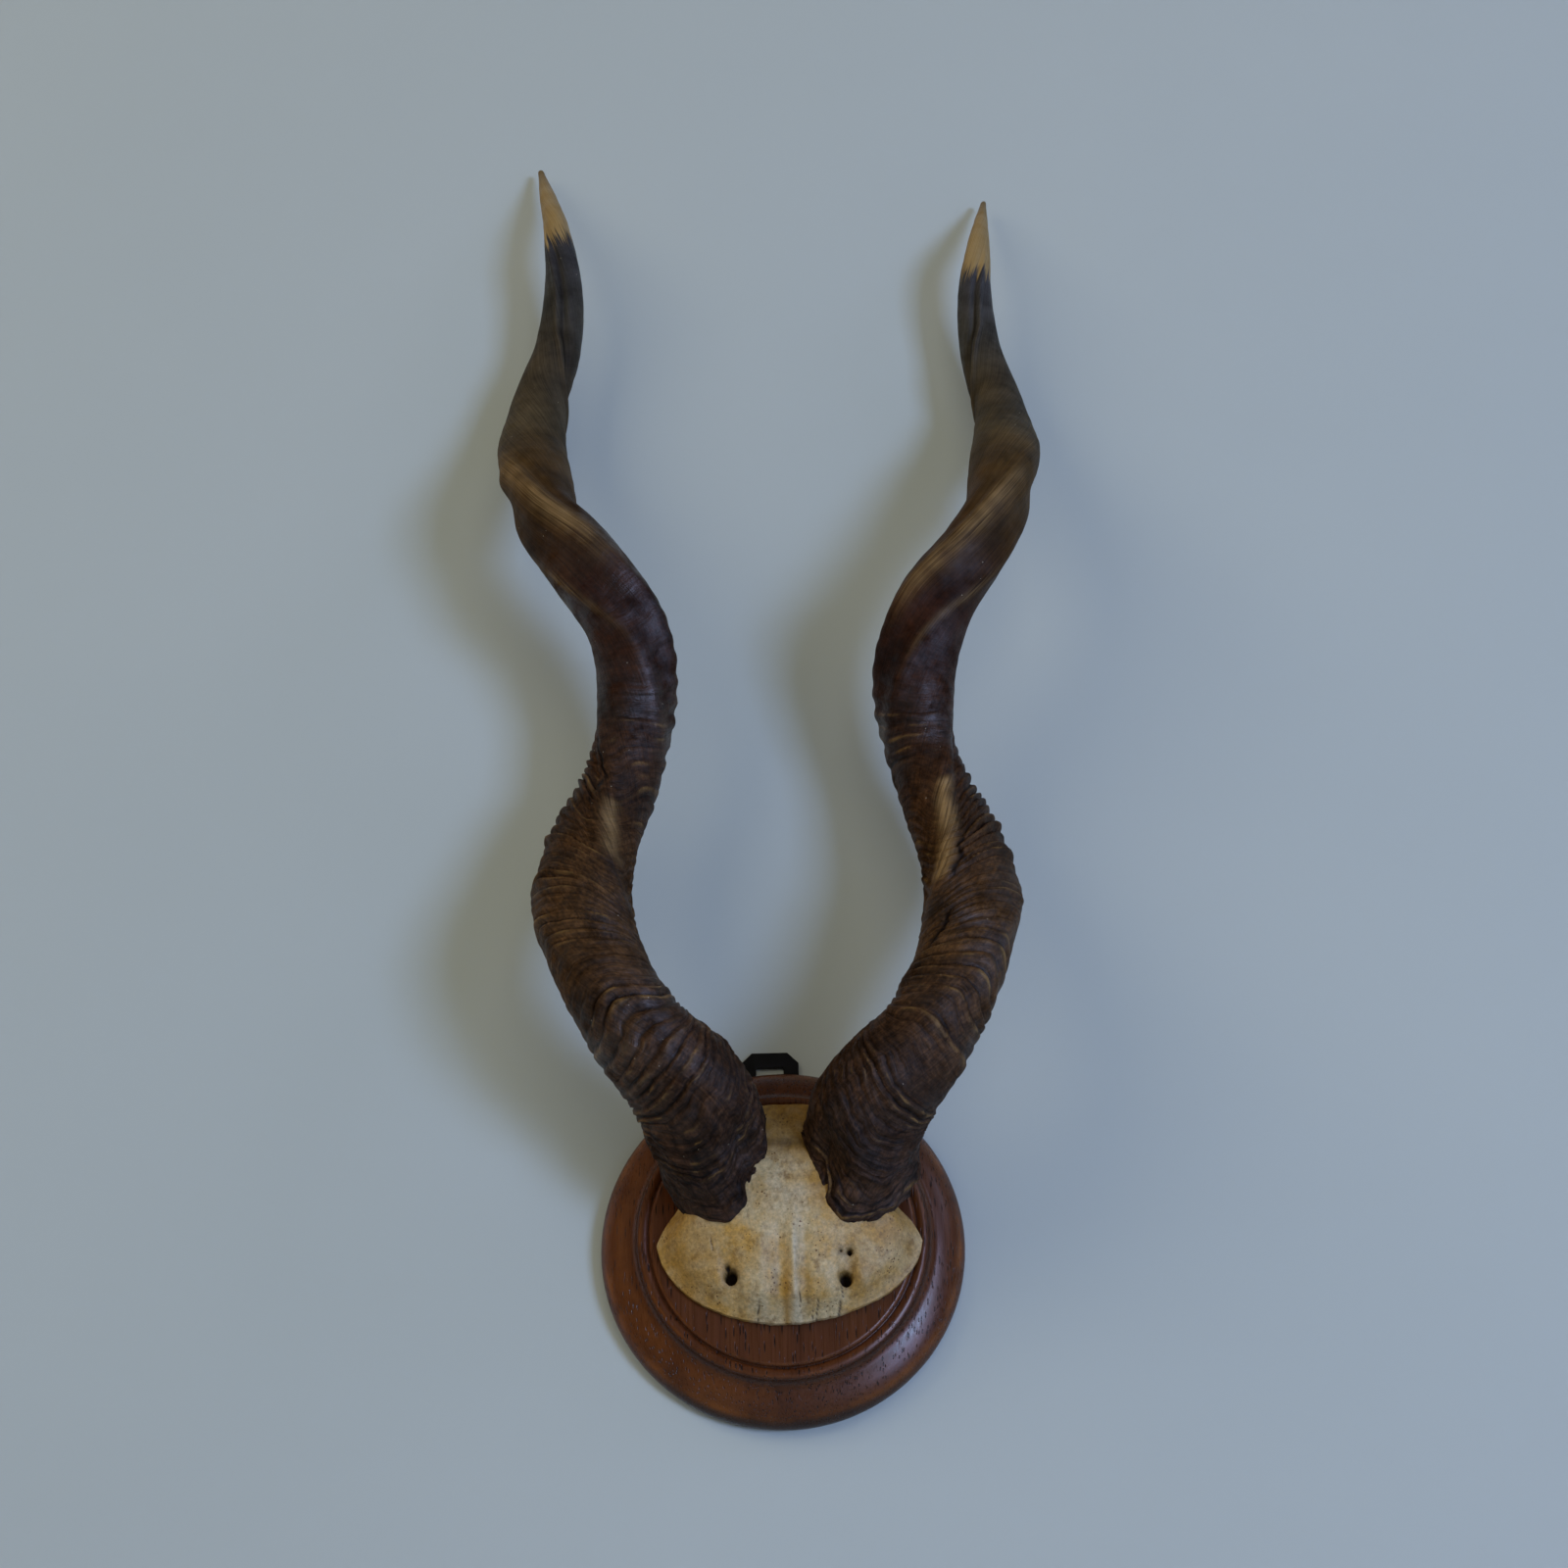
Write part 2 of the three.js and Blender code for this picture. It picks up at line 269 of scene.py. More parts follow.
# The soaked stain; a narrow streak of it left of the midline ridge is partly painted shade.
soaked = add(tree, "Attribute", attribute_name="stain").outputs["Fac"]
yellow = add(tree, "Mix", {"Factor": soaked, 6: stain.outputs[0], 7: linear("#b3853a")}, data_type="RGBA")
# Lighter along the midline ridge's crest as a painted highlight, and lighter in the middle.
bleach_and_highlight_share = add(tree, "Attribute", attribute_name="bleach_and_ridge_highlight").outputs["Fac"]
clean = add(tree, "Mix", {"Factor": bleach_and_highlight_share, 6: yellow.outputs[2], 7: linear("#e0d2b6")}, data_type="RGBA")
# Smears of old dirt, a few millimetres long.
smears = add(tree, "TexNoise", {"Vector": coords, "Scale": 130, "Detail": 5, "Roughness": 0.7})
smear_share = add(tree, "MapRange", {"Value": smears.outputs["Fac"], "From Min": 0.52, "From Max": 0.70,
                                     "To Max": 0.75})
smeared = add(tree, "Mix", {"Factor": smear_share.outputs[0], 6: clean.outputs[2], 7: linear("#8a6534")},
              data_type="RGBA")
fine = add(tree, "TexNoise", {"Vector": coords, "Scale": 420, "Detail": 4, "Roughness": 0.7})
dusty = add(tree, "MapRange", {"Value": fine.outputs["Fac"], "From Min": 0.35, "From Max": 0.65,
                               "To Min": 0.72, "To Max": 1.15})
grainy = add(tree, "Mix", {"Factor": 1.0, 6: smeared.outputs[2], 7: dusty.outputs[0]},
             data_type="RGBA", blend_type="MULTIPLY")
# Pits are about 0.4 mm wide. They are drawn up to 1.3 mm wide so that they show, and crowd in fields.
pits = add(tree, "TexVoronoi", {"Vector": coords, "Scale": 420, "Randomness": 1.0})
pit_field = add(tree, "TexNoise", {"Vector": coords, "Scale": 55, "Detail": 3})
pit_size = add(tree, "MapRange", {"Value": pit_field.outputs["Fac"], "From Min": 0.46, "From Max": 0.66,
                                  "To Min": 0.0, "To Max": 0.28})
pitted = add(tree, "Math", {0: pits.outputs["Distance"], 1: pit_size.outputs[0]}, operation="LESS_THAN")
speckled = add(tree, "Mix", {"Factor": pitted.outputs[0], 6: grainy.outputs[2], 7: linear("#74522b")},
               data_type="RGBA")
# Painted shade in the valleys beside the midline ridge; the brow holes, the cracks and the neck's top are
# darker too.
dark_and_shade_share = add(tree, "Attribute", attribute_name="dark_patches_and_shade").outputs["Fac"]
hollow = add(tree, "Mix", {"Factor": dark_and_shade_share, 6: speckled.outputs[2], 7: linear("#26170b")}, data_type="RGBA")
relief = add(tree, "Bump", {"Strength": 0.6, "Distance": 0.5 * MM, "Height": fine.outputs["Fac"]})
dimples = add(tree, "Bump", {"Strength": 0.7, "Distance": 1.0 * MM, "Height": smears.outputs["Fac"],
                             "Normal": relief.outputs[0]}, invert=True)
bone_shader = add(tree, "BsdfPrincipled", {
    "Base Color": hollow.outputs[2], "Roughness": 0.55, "IOR": 1.5, "Specular IOR Level": 0.35,
    "Normal": dimples.outputs[0],
})
tree.links.new(bone_shader.outputs[0], output.inputs["Surface"])

# %% [markdown]
# ## Skull cap
# One sawn piece of forehead bone: a dome with two lobes that were the brow over the eyes, and a neck
# between the horns. It is made from a ball. The ball's rings become rings inside the saw line, so
# one number, from the middle to the edge, says how far out a point lies. The brow holes are pits in
# that same surface, and the edge is a thin sawn wall that stands on the oak.

# %% Skull cap: sizes
CAP_MIDDLE = 3.5 * MM
CAP_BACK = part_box("skull_cap")[1].y  # the plane of the saw cut, just clear of the oak
DOME_HALF = 104 * MM
DOME_DEPTH = 58 * MM
DOME_BASE = 17.8 * MM
DOME_UP = 26 * MM
SAW_LINE = [  # millimetres right and up, anticlockwise from the nose side
    (3, -59.8), (21, -57.8), (42.5, -52.3), (56, -47), (67, -41), (79.3, -29.5), (86, -19.5),
    (88.8, -9), (82, 3.5), (72.6, 13), (70, 22), (66, 34), (60, 46), (44, 62), (20, 73.5),
    (3.5, 74), (-13, 73.5), (-37, 62), (-53, 46), (-60, 34), (-64, 24), (-66, 13.5), (-75, 2),
    (-80, -8.5), (-76.2, -21), (-67.5, -33.5), (-56.5, -43.5), (-44.3, -50), (-31, -55.2), (-15.7, -58.5),
]
BROW_HOLES = [  # right, up, radius, depth
    (-32.4, -34.0, 4.0, 10), (-34.4, -28.6, 1.5, 4), (38.8, -36.6, 3.8, 10), (41.7, -21.3, 1.7, 5),
    (36.2, -21.0, 0.8, 2.5),
]
CRACKS = [  # right, lower end, upper end, width
    (-15.8, -60, -50, 0.7), (20.8, -61, -48.5, 0.9), (34.6, -56, -49, 1.6), (18.2, -60, -54, 0.6),
    (9.8, -52, -46, 0.6), (-44, -18, -12, 0.5), (36.8, -46, -42, 0.8),
]


def bone_depth(x, z):
    """How far the bone's surface stands out of the wall at a place, in metres."""
    reach = 1 - ((x - CAP_MIDDLE) ** 2 + (z - DOME_UP) ** 2) / DOME_HALF**2
    depth = DOME_BASE + DOME_DEPTH * np.sqrt(np.clip(reach, 0.02, None))
    lower = smoothstep(6 * MM, -16 * MM, z)
    spine = 3.2 * MM * bump_at(x, 6.8 * MM, 3.0 * MM) * smoothstep(14 * MM, -24 * MM, z)
    hollows = 0
    for side, lean in ((-33 * MM, 0.18), (40 * MM, -0.05)):
        leaning = x + lean * (z + 36 * MM)
        hollows = hollows + 4.5 * MM * bump_at(leaning, side, 6 * MM) * bump_at(z, -33 * MM, 17 * MM)
    valley = 2.6 * MM * bump_at(x, -2 * MM, 4 * MM) * lower
    valley = valley + 2.0 * MM * bump_at(x, 14 * MM, 4.5 * MM) * lower
    valley = valley - 2.2 * MM * bump_at(x, -14 * MM, 5 * MM) * lower
    swell = 2.2 * MM * bump_at(x, 66 * MM, 14 * MM) * bump_at(z, -6 * MM, 16 * MM)
    swell = swell + 1.6 * MM * bump_at(x, -58 * MM, 14 * MM) * bump_at(z, -8 * MM, 18 * MM)
    return depth + spine + swell - hollows - valley


# %% Skull cap: shape
def saw_line_radius(angle):
    """Distance from the middle of the bone to the saw line, in each direction."""
    line = np.array(SAW_LINE) * MM - (CAP_MIDDLE, 0)
    turns = np.unwrap(np.arctan2(line[:, 1], line[:, 0]))
    reach = np.hypot(line[:, 0], line[:, 1])
    full = 2 * math.pi
    turns = np.concatenate([turns - full, turns, turns + full])
    first = turns[len(line)]
    around = first + np.mod(angle - first, full)
    return np.interp(around, turns, np.tile(reach, 3))


CAP_SIDES = 360
CAP_RINGS = 150
FRONT_SHARE = 0.84  # share of the rings on the front, the rest are the edge and the back
EDGE_SHARE = 0.07


def skull_cap():
    bm = bmesh.new()
    bmesh.ops.create_uvsphere(bm, u_segments=CAP_SIDES, v_segments=CAP_RINGS, radius=1)
    mesh = bpy.data.meshes.new("skull_cap_bone")
    bm.to_mesh(mesh)
    bm.free()
    ball = points_of(mesh)
    angle = np.arctan2(ball[:, 1], ball[:, 0])
    share = np.arccos(np.clip(ball[:, 2], -1, 1)) / math.pi  # 0 in front, 1 behind
    front = np.clip(share / FRONT_SHARE, 0, 1)
    wall = np.clip((share - FRONT_SHARE) / EDGE_SHARE, 0, 1)
    back = np.clip((share - FRONT_SHARE - EDGE_SHARE) / (1 - FRONT_SHARE - EDGE_SHARE), 0, 1)
    reach = saw_line_radius(angle)
    rough = noise_at(np.stack([np.cos(angle), np.sin(angle), 0 * angle], 1), 0.05, 3)
    reach = reach + 0.35 * MM * rough
    out = reach * np.where(back > 0, 1 - back, front)
    x = CAP_MIDDLE + out * np.cos(angle)
    z = out * np.sin(angle)
    inside = reach * (1 - front)
    flat = np.stack([x, 0 * x, z], 1)
    depth = bone_depth(x, z) + 0.7 * MM * noise_at(flat, 0.013, 1) + 0.25 * MM * noise_at(flat, 0.0035, 2)
    thin = smoothstep(30 * MM, 8 * MM, z)
    sawn = -CAP_BACK + 3.2 * MM
    rounded = smoothstep(-3 * MM, 15 * MM, inside) ** 0.7
    depth = depth + (sawn + (depth - sawn) * rounded - depth) * thin
    # Painted shade in the valleys beside the midline ridge and in the hollow above the left brow hole. The
    # top of the neck is darker, with a darker band across it.
    dark_patches_and_shade = 0.3 * bump_at(x, -4.4 * MM, 1.8 * MM) * bump_at(z, -40 * MM, 10 * MM)
    dark_patches_and_shade = dark_patches_and_shade + 0.22 * bump_at(x, 15 * MM, 2 * MM) * bump_at(z, -45 * MM, 9 * MM)
    dark_patches_and_shade = dark_patches_and_shade + 0.3 * bump_at(x, -27 * MM, 2 * MM) * bump_at(z, -40 * MM, 9 * MM)
    dark_patches_and_shade = dark_patches_and_shade + (0.4 * bump_at(z, 47 * MM, 4 * MM) + 0.3 * smoothstep(30 * MM, 60 * MM, z))
    # Each brow hole is darker inside, with a darker ring round it.
    for right, up, radius, deep in BROW_HOLES:
        away = np.hypot(x - right * MM, (z - up * MM) * 0.9)
        pit = smoothstep((radius + 0.45) * MM, (radius - 0.5) * MM, away)
        depth = depth - deep * MM * pit
        dark_patches_and_shade = np.maximum(dark_patches_and_shade, pit)
        dark_patches_and_shade = np.maximum(dark_patches_and_shade, 0.4 * bump_at(away, radius * MM, 2 * MM))
    # Each crack is darker inside.
    for right, low, high, width in CRACKS:
        wander = x + 0.6 * MM * np.sin(z / (2.4 * MM))
        slit = bump_at(wander, right * MM, 0.5 * width * MM)
        slit = slit * smoothstep((low - 1) * MM, low * MM, z) * smoothstep((high + 2) * MM, high * MM, z)
        depth = depth - 1.4 * MM * slit
        dark_patches_and_shade = np.maximum(dark_patches_and_shade, 0.9 * slit)
    front_y = -np.maximum(depth, -CAP_BACK + 1.5 * MM)
    y = np.where(back > 0, CAP_BACK, front_y + (CAP_BACK - front_y) * wall)
    move_points(mesh, np.stack([x, y, z], 1))
    soak_and_shade = 0.9 * smoothstep(28 * MM, 46 * MM, z) + 0.85 * bump_at(x, -64 * MM, 24 * MM)
    soak_and_shade = soak_and_shade + 0.6 * bump_at(x, 70 * MM, 22 * MM)
    # A narrow yellow-brown streak left of the midline ridge: stain, and partly painted shade.
    soak_and_shade = soak_and_shade + 0.9 * bump_at(x, 2 * MM, 2.4 * MM) * smoothstep(-24 * MM, -40 * MM, z)
    soak_and_shade = soak_and_shade + 0.8 * bump_at(x, 25 * MM, 6 * MM) * bump_at(z, 20 * MM, 14 * MM)
    soak_and_shade = soak_and_shade + 0.55 * bump_at(x, 46 * MM, 8 * MM) * bump_at(z, -34 * MM, 16 * MM)
    soak_and_shade = soak_and_shade + 0.35 * noise_at(flat, 0.02, 5)
    store(mesh, "stain", np.clip(soak_and_shade, 0, 1))
    store(mesh, "dark_patches_and_shade", np.clip(dark_patches_and_shade, 0, 1))
    # Lighter along the crest of the midline ridge as a painted highlight; the middle and a low rise at the
    # lower left are lighter as well.
    bleach_and_ridge_highlight = 0.6 * bump_at(x, 7.6 * MM, 3.6 * MM) * smoothstep(0, -22 * MM, z)
    bleach_and_ridge_highlight = bleach_and_ridge_highlight + 0.6 * bump_at(x, 4 * MM, 14 * MM) * bump_at(z, 12 * MM, 20 * MM)
    bleach_and_ridge_highlight = bleach_and_ridge_highlight + 0.35 * bump_at(x, -14 * MM, 6 * MM) * smoothstep(-10 * MM, -30 * MM, z)
    store(mesh, "bleach_and_ridge_highlight", np.clip(bleach_and_ridge_highlight + 0.25 * noise_at(flat, 0.008, 7), 0, 1))
    return mesh


place_piece("skull_cap_bone", skull_cap(), bone_finish, "bone", "skull_cap")

# %% [markdown]
# ## Horn: finish
# A horn is a sheath of keratin, the stuff of hooves and nails. Near the bone it is nearly black and
# rough like bark; higher up it is ringed brown, and the crests and ridges are rubbed to a golden
# brown; above that it turns charcoal, and the last hand's breadth is ivory. The dark lines in the
# ring grooves are painted shade, and the gold on the ring crests is partly a painted highlight; on
# the upper twist a pale line along the second ridge is a painted highlight, beside a channel of
# painted shade. All that follows the horn, not the room, so the material reads values that are
# stored on the surface: the length along the horn, the tone of the rings with its painted shade and
# highlight, the wear with that painted highlight line, how much the horn is handled, and two places
# on the skin, one that runs lengthwise for the fibres and one that follows the rings for the wrinkles.

# %% Horn material
horn_finish, tree, output = new_material("kudu horn, ringed keratin with rubbed crests")
along = add(tree, "Attribute", attribute_name="along").outputs["Fac"]
ring = add(tree, "Attribute", attribute_name="ring").outputs["Fac"]
# Wear, with a painted highlight line along the upper second ridge.
wear_and_highlight = add(tree, "Attribute", attribute_name="wear_and_highlight").outputs["Fac"]
grain = add(tree, "Attribute", attribute_name="grain").outputs["Vector"]
skin = add(tree, "Attribute", attribute_name="skin").outputs["Vector"]
coords = add(tree, "TexCoord").outputs["Object"]

body = add(tree, "ValToRGB", {"Fac": along})
stops = body.color_ramp.elements
stops[0].position, stops[0].color = 0.03, linear("#402c20")
stops[1].position, stops[1].color = 0.88, linear("#38363a")
for place, colour in ((0.12, "#432d1e"), (0.20, "#4f361e"), (0.27, "#4a321d"), (0.36, "#3f2818"),
                      (0.43, "#331d12"), (0.50, "#33190d"), (0.56, "#402b16"), (0.62, "#503b20"),
                      (0.68, "#4f4330"), (0.76, "#4b4031"), (0.82, "#3f3a32")):
    stops.new(place).color = linear(colour)

blotch = add(tree, "TexNoise", {"Vector": coords, "Scale": 30, "Detail": 6, "Roughness": 0.62})
blotch_step = add(tree, "MapRange", {"Value": blotch.outputs["Fac"], "From Min": 0.32, "From Max": 0.68,
                                     "To Min": 0.5, "To Max": 1.5})
mottled = add(tree, "Mix", {"Factor": 1.0, 6: body.outputs[0], 7: blotch_step.outputs[0]},
              data_type="RGBA", blend_type="MULTIPLY")
# Fibres are hair thin; they are drawn 1 mm wide so that they show, and several centimetres long.
fibre_place = add(tree, "Mapping", {"Vector": grain, "Scale": (1000, 1000, 22)})
fibre = add(tree, "TexNoise", {"Vector": fibre_place.outputs[0], "Scale": 1.0, "Detail": 4,
                               "Roughness": 0.6})
fibre_step = add(tree, "MapRange", {"Value": fibre.outputs["Fac"], "From Min": 0.35, "From Max": 0.65,
                                    "To Min": 0.68, "To Max": 1.3})
fibrous = add(tree, "Mix", {"Factor": 1.0, 6: mottled.outputs[2], 7: fibre_step.outputs[0]},
              data_type="RGBA", blend_type="MULTIPLY")
# Fine wrinkles run with the rings, 2 to 3 mm apart, and fade out halfway up the horn.
wrinkle_place = add(tree, "Mapping", {"Vector": skin, "Scale": (75, 75, 430)})
wrinkle = add(tree, "TexNoise", {"Vector": wrinkle_place.outputs[0], "Scale": 1.0, "Detail": 5,
                                 "Roughness": 0.62})
ringed = add(tree, "MapRange", {"Value": along, "From Min": 0.56, "From Max": 0.34})
wrinkle_step = add(tree, "MapRange", {"Value": wrinkle.outputs["Fac"], "From Min": 0.36, "From Max": 0.62,
                                      "To Min": 0.62, "To Max": 1.28})
lined = add(tree, "Mix", {"Factor": ringed.outputs[0], 6: fibrous.outputs[2], 7: wrinkle_step.outputs[0]},
            data_type="RGBA", blend_type="MULTIPLY")
# Crust and grit on the ringed part, in grains of a few millimetres.
crust = add(tree, "TexNoise", {"Vector": coords, "Scale": 240, "Detail": 5, "Roughness": 0.7})
crust_step = add(tree, "MapRange", {"Value": crust.outputs["Fac"], "From Min": 0.36, "From Max": 0.62,
                                    "To Min": 0.6, "To Max": 1.35})
crusty = add(tree, "Mix", {"Factor": ringed.outputs[0], 6: lined.outputs[2], 7: crust_step.outputs[0]},
             data_type="RGBA", blend_type="MULTIPLY")
# Painted shade: dark lines at the bottom of the ring grooves.
groove = add(tree, "MapRange", {"Value": ring, "From Min": -0.12, "From Max": -0.85, "To Max": 0.9})
grooved = add(tree, "Mix", {"Factor": groove.outputs[0], 6: crusty.outputs[2], 7: linear("#130a06")},
              data_type="RGBA")
# Gold on the ring crests: rubbed keratin, and partly a painted highlight.
crest = add(tree, "MapRange", {"Value": ring, "From Min": 0.1, "From Max": 0.9, "To Max": 0.85})
patchy = add(tree, "TexNoise", {"Vector": coords, "Scale": 48, "Detail": 5, "Roughness": 0.68})
patchy_step = add(tree, "MapRange", {"Value": patchy.outputs["Fac"], "From Min": 0.43, "From Max": 0.60})
crest_wear_and_highlight = add(tree, "Math", {0: crest.outputs[0], 1: patchy_step.outputs[0]}, operation="MULTIPLY")
golden = add(tree, "Mix", {"Factor": crest_wear_and_highlight.outputs[0], 6: grooved.outputs[2], 7: linear("#93703f")},
             data_type="RGBA")
streak = add(tree, "MapRange", {"Value": fibre.outputs["Fac"], "From Min": 0.32, "From Max": 0.66,
                                "To Min": 0.15, "To Max": 1.25})
worn_share = add(tree, "Math", {0: wear_and_highlight, 1: streak.outputs[0]}, operation="MULTIPLY", use_clamp=True)
pale = add(tree, "Mix", {"Factor": worn_share.outputs[0], 6: golden.outputs[2], 7: linear("#a5855a")},
           data_type="RGBA")

# The ivory tip starts at a ragged line, which runs up and down with the fibres.
ragged_place = add(tree, "Mapping", {"Vector": grain, "Scale": (420, 420, 30)})
ragged = add(tree, "TexNoise", {"Vector": ragged_place.outputs[0], "Scale": 1.0, "Detail": 2})
ragged_step = add(tree, "Math", {0: ragged.outputs["Fac"], 1: 0.05}, operation="MULTIPLY")
tip_line = add(tree, "Math", {0: along, 1: ragged_step.outputs[0]}, operation="ADD")
tip = add(tree, "MapRange", {"Value": tip_line.outputs[0], "From Min": 0.900, "From Max": 0.909})
ivory = add(tree, "TexNoise", {"Vector": fibre_place.outputs[0], "Scale": 0.5, "Detail": 2})
ivory_colour = add(tree, "Mix", {"Factor": ivory.outputs["Fac"], 6: linear("#c2a370"),
                                 7: linear("#94774a")}, data_type="RGBA")
tip_end = add(tree, "MapRange", {"Value": along, "From Min": 0.955, "From Max": 1.0, "To Max": 0.8})
aged_tip = add(tree, "Mix", {"Factor": tip_end.outputs[0], 6: ivory_colour.outputs[2],
                             7: linear("#6b5836")}, data_type="RGBA")
tipped = add(tree, "Mix", {"Factor": tip.outputs[0], 6: pale.outputs[2], 7: aged_tip.outputs[2]},
             data_type="RGBA")

dust = add(tree, "TexVoronoi", {"Vector": coords, "Scale": 95, "Randomness": 1.0})
dust_on = add(tree, "Math", {0: dust.outputs["Distance"], 1: 0.035}, operation="LESS_THAN")
dusted = add(tree, "Mix", {"Factor": dust_on.outputs[0], 6: tipped.outputs[2], 7: linear("#b8ab98")},
             data_type="RGBA")

# Handled and dusted flanks are polished, the bark at the foot and the twist above are dull.
polish_where = add(tree, "ValToRGB", {"Fac": along})
stops = polish_where.color_ramp.elements
stops[0].position, stops[0].color = 0.05, (0.25, 0.25, 0.25, 1)
stops[1].position, stops[1].color = 0.93, (0.45, 0.45, 0.45, 1)
for place, level in ((0.09, 0.25), (0.13, 0.7), (0.17, 0.3), (0.22, 0.45), (0.28, 0.15), (0.36, 0.3),
                     (0.41, 0.8), (0.455, 0.35), (0.51, 0.75), (0.55, 0.15), (0.64, 0.1), (0.76, 0.12),
                     (0.84, 0.4)):
    stops.new(place).color = (level, level, level, 1)
polish_step = add(tree, "MapRange", {"Value": patchy.outputs["Fac"], "From Min": 0.34, "From Max": 0.66})
handled = add(tree, "Attribute", attribute_name="handled").outputs["Fac"]
polish_here = add(tree, "Math", {0: polish_where.outputs[0], 1: handled}, operation="MULTIPLY")
polish = add(tree, "Math", {0: polish_here.outputs[0], 1: polish_step.outputs[0]}, operation="MULTIPLY")
gloss = add(tree, "MapRange", {"Value": polish.outputs[0], "To Min": 0.6, "To Max": 0.22})
sheen = add(tree, "MapRange", {"Value": polish.outputs[0], "To Min": 0.05, "To Max": 0.95})
wrinkle_height = add(tree, "Math", {0: wrinkle.outputs["Fac"], 1: ringed.outputs[0]}, operation="MULTIPLY")
wrinkles = add(tree, "Bump", {"Strength": 0.9, "Distance": 1.7 * MM, "Height": wrinkle_height.outputs[0]})
fibres = add(tree, "Bump", {"Strength": 0.8, "Distance": 0.45 * MM, "Height": fibre.outputs["Fac"],
                            "Normal": wrinkles.outputs[0]})
grit = add(tree, "TexNoise", {"Vector": coords, "Scale": 700, "Detail": 3})
gritty = add(tree, "Bump", {"Strength": 0.4, "Distance": 0.2 * MM, "Height": grit.outputs["Fac"],
                            "Normal": fibres.outputs[0]})
horn_shader = add(tree, "BsdfPrincipled", {
    "Base Color": dusted.outputs[2], "Roughness": gloss.outputs[0], "IOR": 1.5,
    "Specular IOR Level": sheen.outputs[0], "Normal": gritty.outputs[0],
})
tree.links.new(horn_shader.outputs[0], output.inputs["Surface"])

# %% [markdown]
# ## Horns: the curve
# Each horn's middle line is a list of stations: right, out of the wall, up, the way that
# the keel faces, and half the horn's thickness there. The keel is the sharp ridge on the outside of
# the coil. Its angle is 0 towards the viewer and grows outwards from turn to turn.

# %% Horn stations, in metres and degrees
LEFT_STATIONS = [
    (-0.031, 0.038, 0.010, -95, 0.0330),
    (-0.041, 0.061, 0.033, -75, 0.0330),
    (-0.054, 0.095, 0.071, -38, 0.0340),
    (-0.088, 0.114, 0.111, 3, 0.0325),
    (-0.115, 0.112, 0.158, 45, 0.0285),
    (-0.126, 0.095, 0.208, 88, 0.0280),
    (-0.122, 0.073, 0.260, 145, 0.0290),
    (-0.103, 0.066, 0.312, 200, 0.0255),
    (-0.093, 0.078, 0.364, 255, 0.0230),
    (-0.097, 0.098, 0.413, 300, 0.0255),
    (-0.125, 0.110, 0.461, 335, 0.0250),
    (-0.154, 0.103, 0.508, 370, 0.0240),
    (-0.167, 0.082, 0.555, 405, 0.0240),
    (-0.174, 0.057, 0.604, 452, 0.0225),
    (-0.172, 0.040, 0.656, 520, 0.0205),
    (-0.159, 0.038, 0.709, 583, 0.0165),
    (-0.155, 0.048, 0.763, 640, 0.0130),
    (-0.161, 0.049, 0.817, 700, 0.0105),
    (-0.171, 0.029, 0.869, 755, 0.0070),
    (-0.181, 0.011, 0.919, 800, 0.0020),
]
RIGHT_STATIONS = [
    (0.038, 0.038, 0.008, -95, 0.0330),
    (0.049, 0.061, 0.031, -75, 0.0330),
    (0.059, 0.091, 0.065, -40, 0.0335),
    (0.091, 0.112, 0.101, -3, 0.0320),
    (0.117, 0.115, 0.145, 36, 0.0280),
    (0.128, 0.101, 0.191, 76, 0.0275),
    (0.129, 0.081, 0.237, 120, 0.0275),
    (0.115, 0.068, 0.285, 172, 0.0260),
    (0.102, 0.070, 0.334, 225, 0.0230),
    (0.101, 0.085, 0.381, 272, 0.0245),
    (0.115, 0.101, 0.426, 312, 0.0255),
    (0.145, 0.109, 0.468, 343, 0.0235),
    (0.165, 0.103, 0.511, 372, 0.0230),
    (0.175, 0.084, 0.556, 408, 0.0240),
    (0.180, 0.059, 0.602, 452, 0.0205),
    (0.180, 0.040, 0.649, 512, 0.0175),
    (0.169, 0.037, 0.698, 572, 0.0150),
    (0.167, 0.046, 0.746, 622, 0.0115),
    (0.172, 0.047, 0.790, 672, 0.0090),
    (0.178, 0.029, 0.833, 718, 0.0060),
    (0.184, 0.011, 0.873, 758, 0.0020),
]


# %% Horn curve
def smooth_line(stations, steps=60):
    """A centripetal Catmull-Rom curve through the stations: places, keel angles and half thicknesses."""
    rows = np.array(stations, dtype=float)
    places = rows[:, :3] * (1, -1, 1)
    ends = np.vstack([2 * places[0] - places[1], places, 2 * places[-1] - places[-2]])
    spare = np.vstack([rows[:1, 3:], rows[:, 3:], rows[-1:, 3:]])
    line, section = [], []
    for i in range(len(places) - 1):
        a, b, c, d = ends[i:i + 4]
        ab, bc, cd = (math.sqrt(np.linalg.norm(q - p)) for p, q in ((a, b), (b, c), (c, d)))
        leave = ((b - a) / ab - (c - a) / (ab + bc) + (c - b) / bc) * bc
        arrive = ((c - b) / bc - (d - b) / (bc + cd) + (d - c) / cd) * bc
        share = np.linspace(0, 1, steps, endpoint=False)[:, None]
        line.append(b + leave * share + (3 * (c - b) - 2 * leave - arrive) * share**2
                    + (2 * (b - c) + leave + arrive) * share**3)
        e, f, g, h = spare[i:i + 4]
        slope_in, slope_out = (g - e) / 2, (h - f) / 2
        section.append(f + slope_in * share + (3 * (g - f) - 2 * slope_in - slope_out) * share**2
                       + (2 * (f - g) + slope_in + slope_out) * share**3)
    return np.vstack([*line, places[-1:]]), np.vstack([*section, rows[-1:, 3:]])


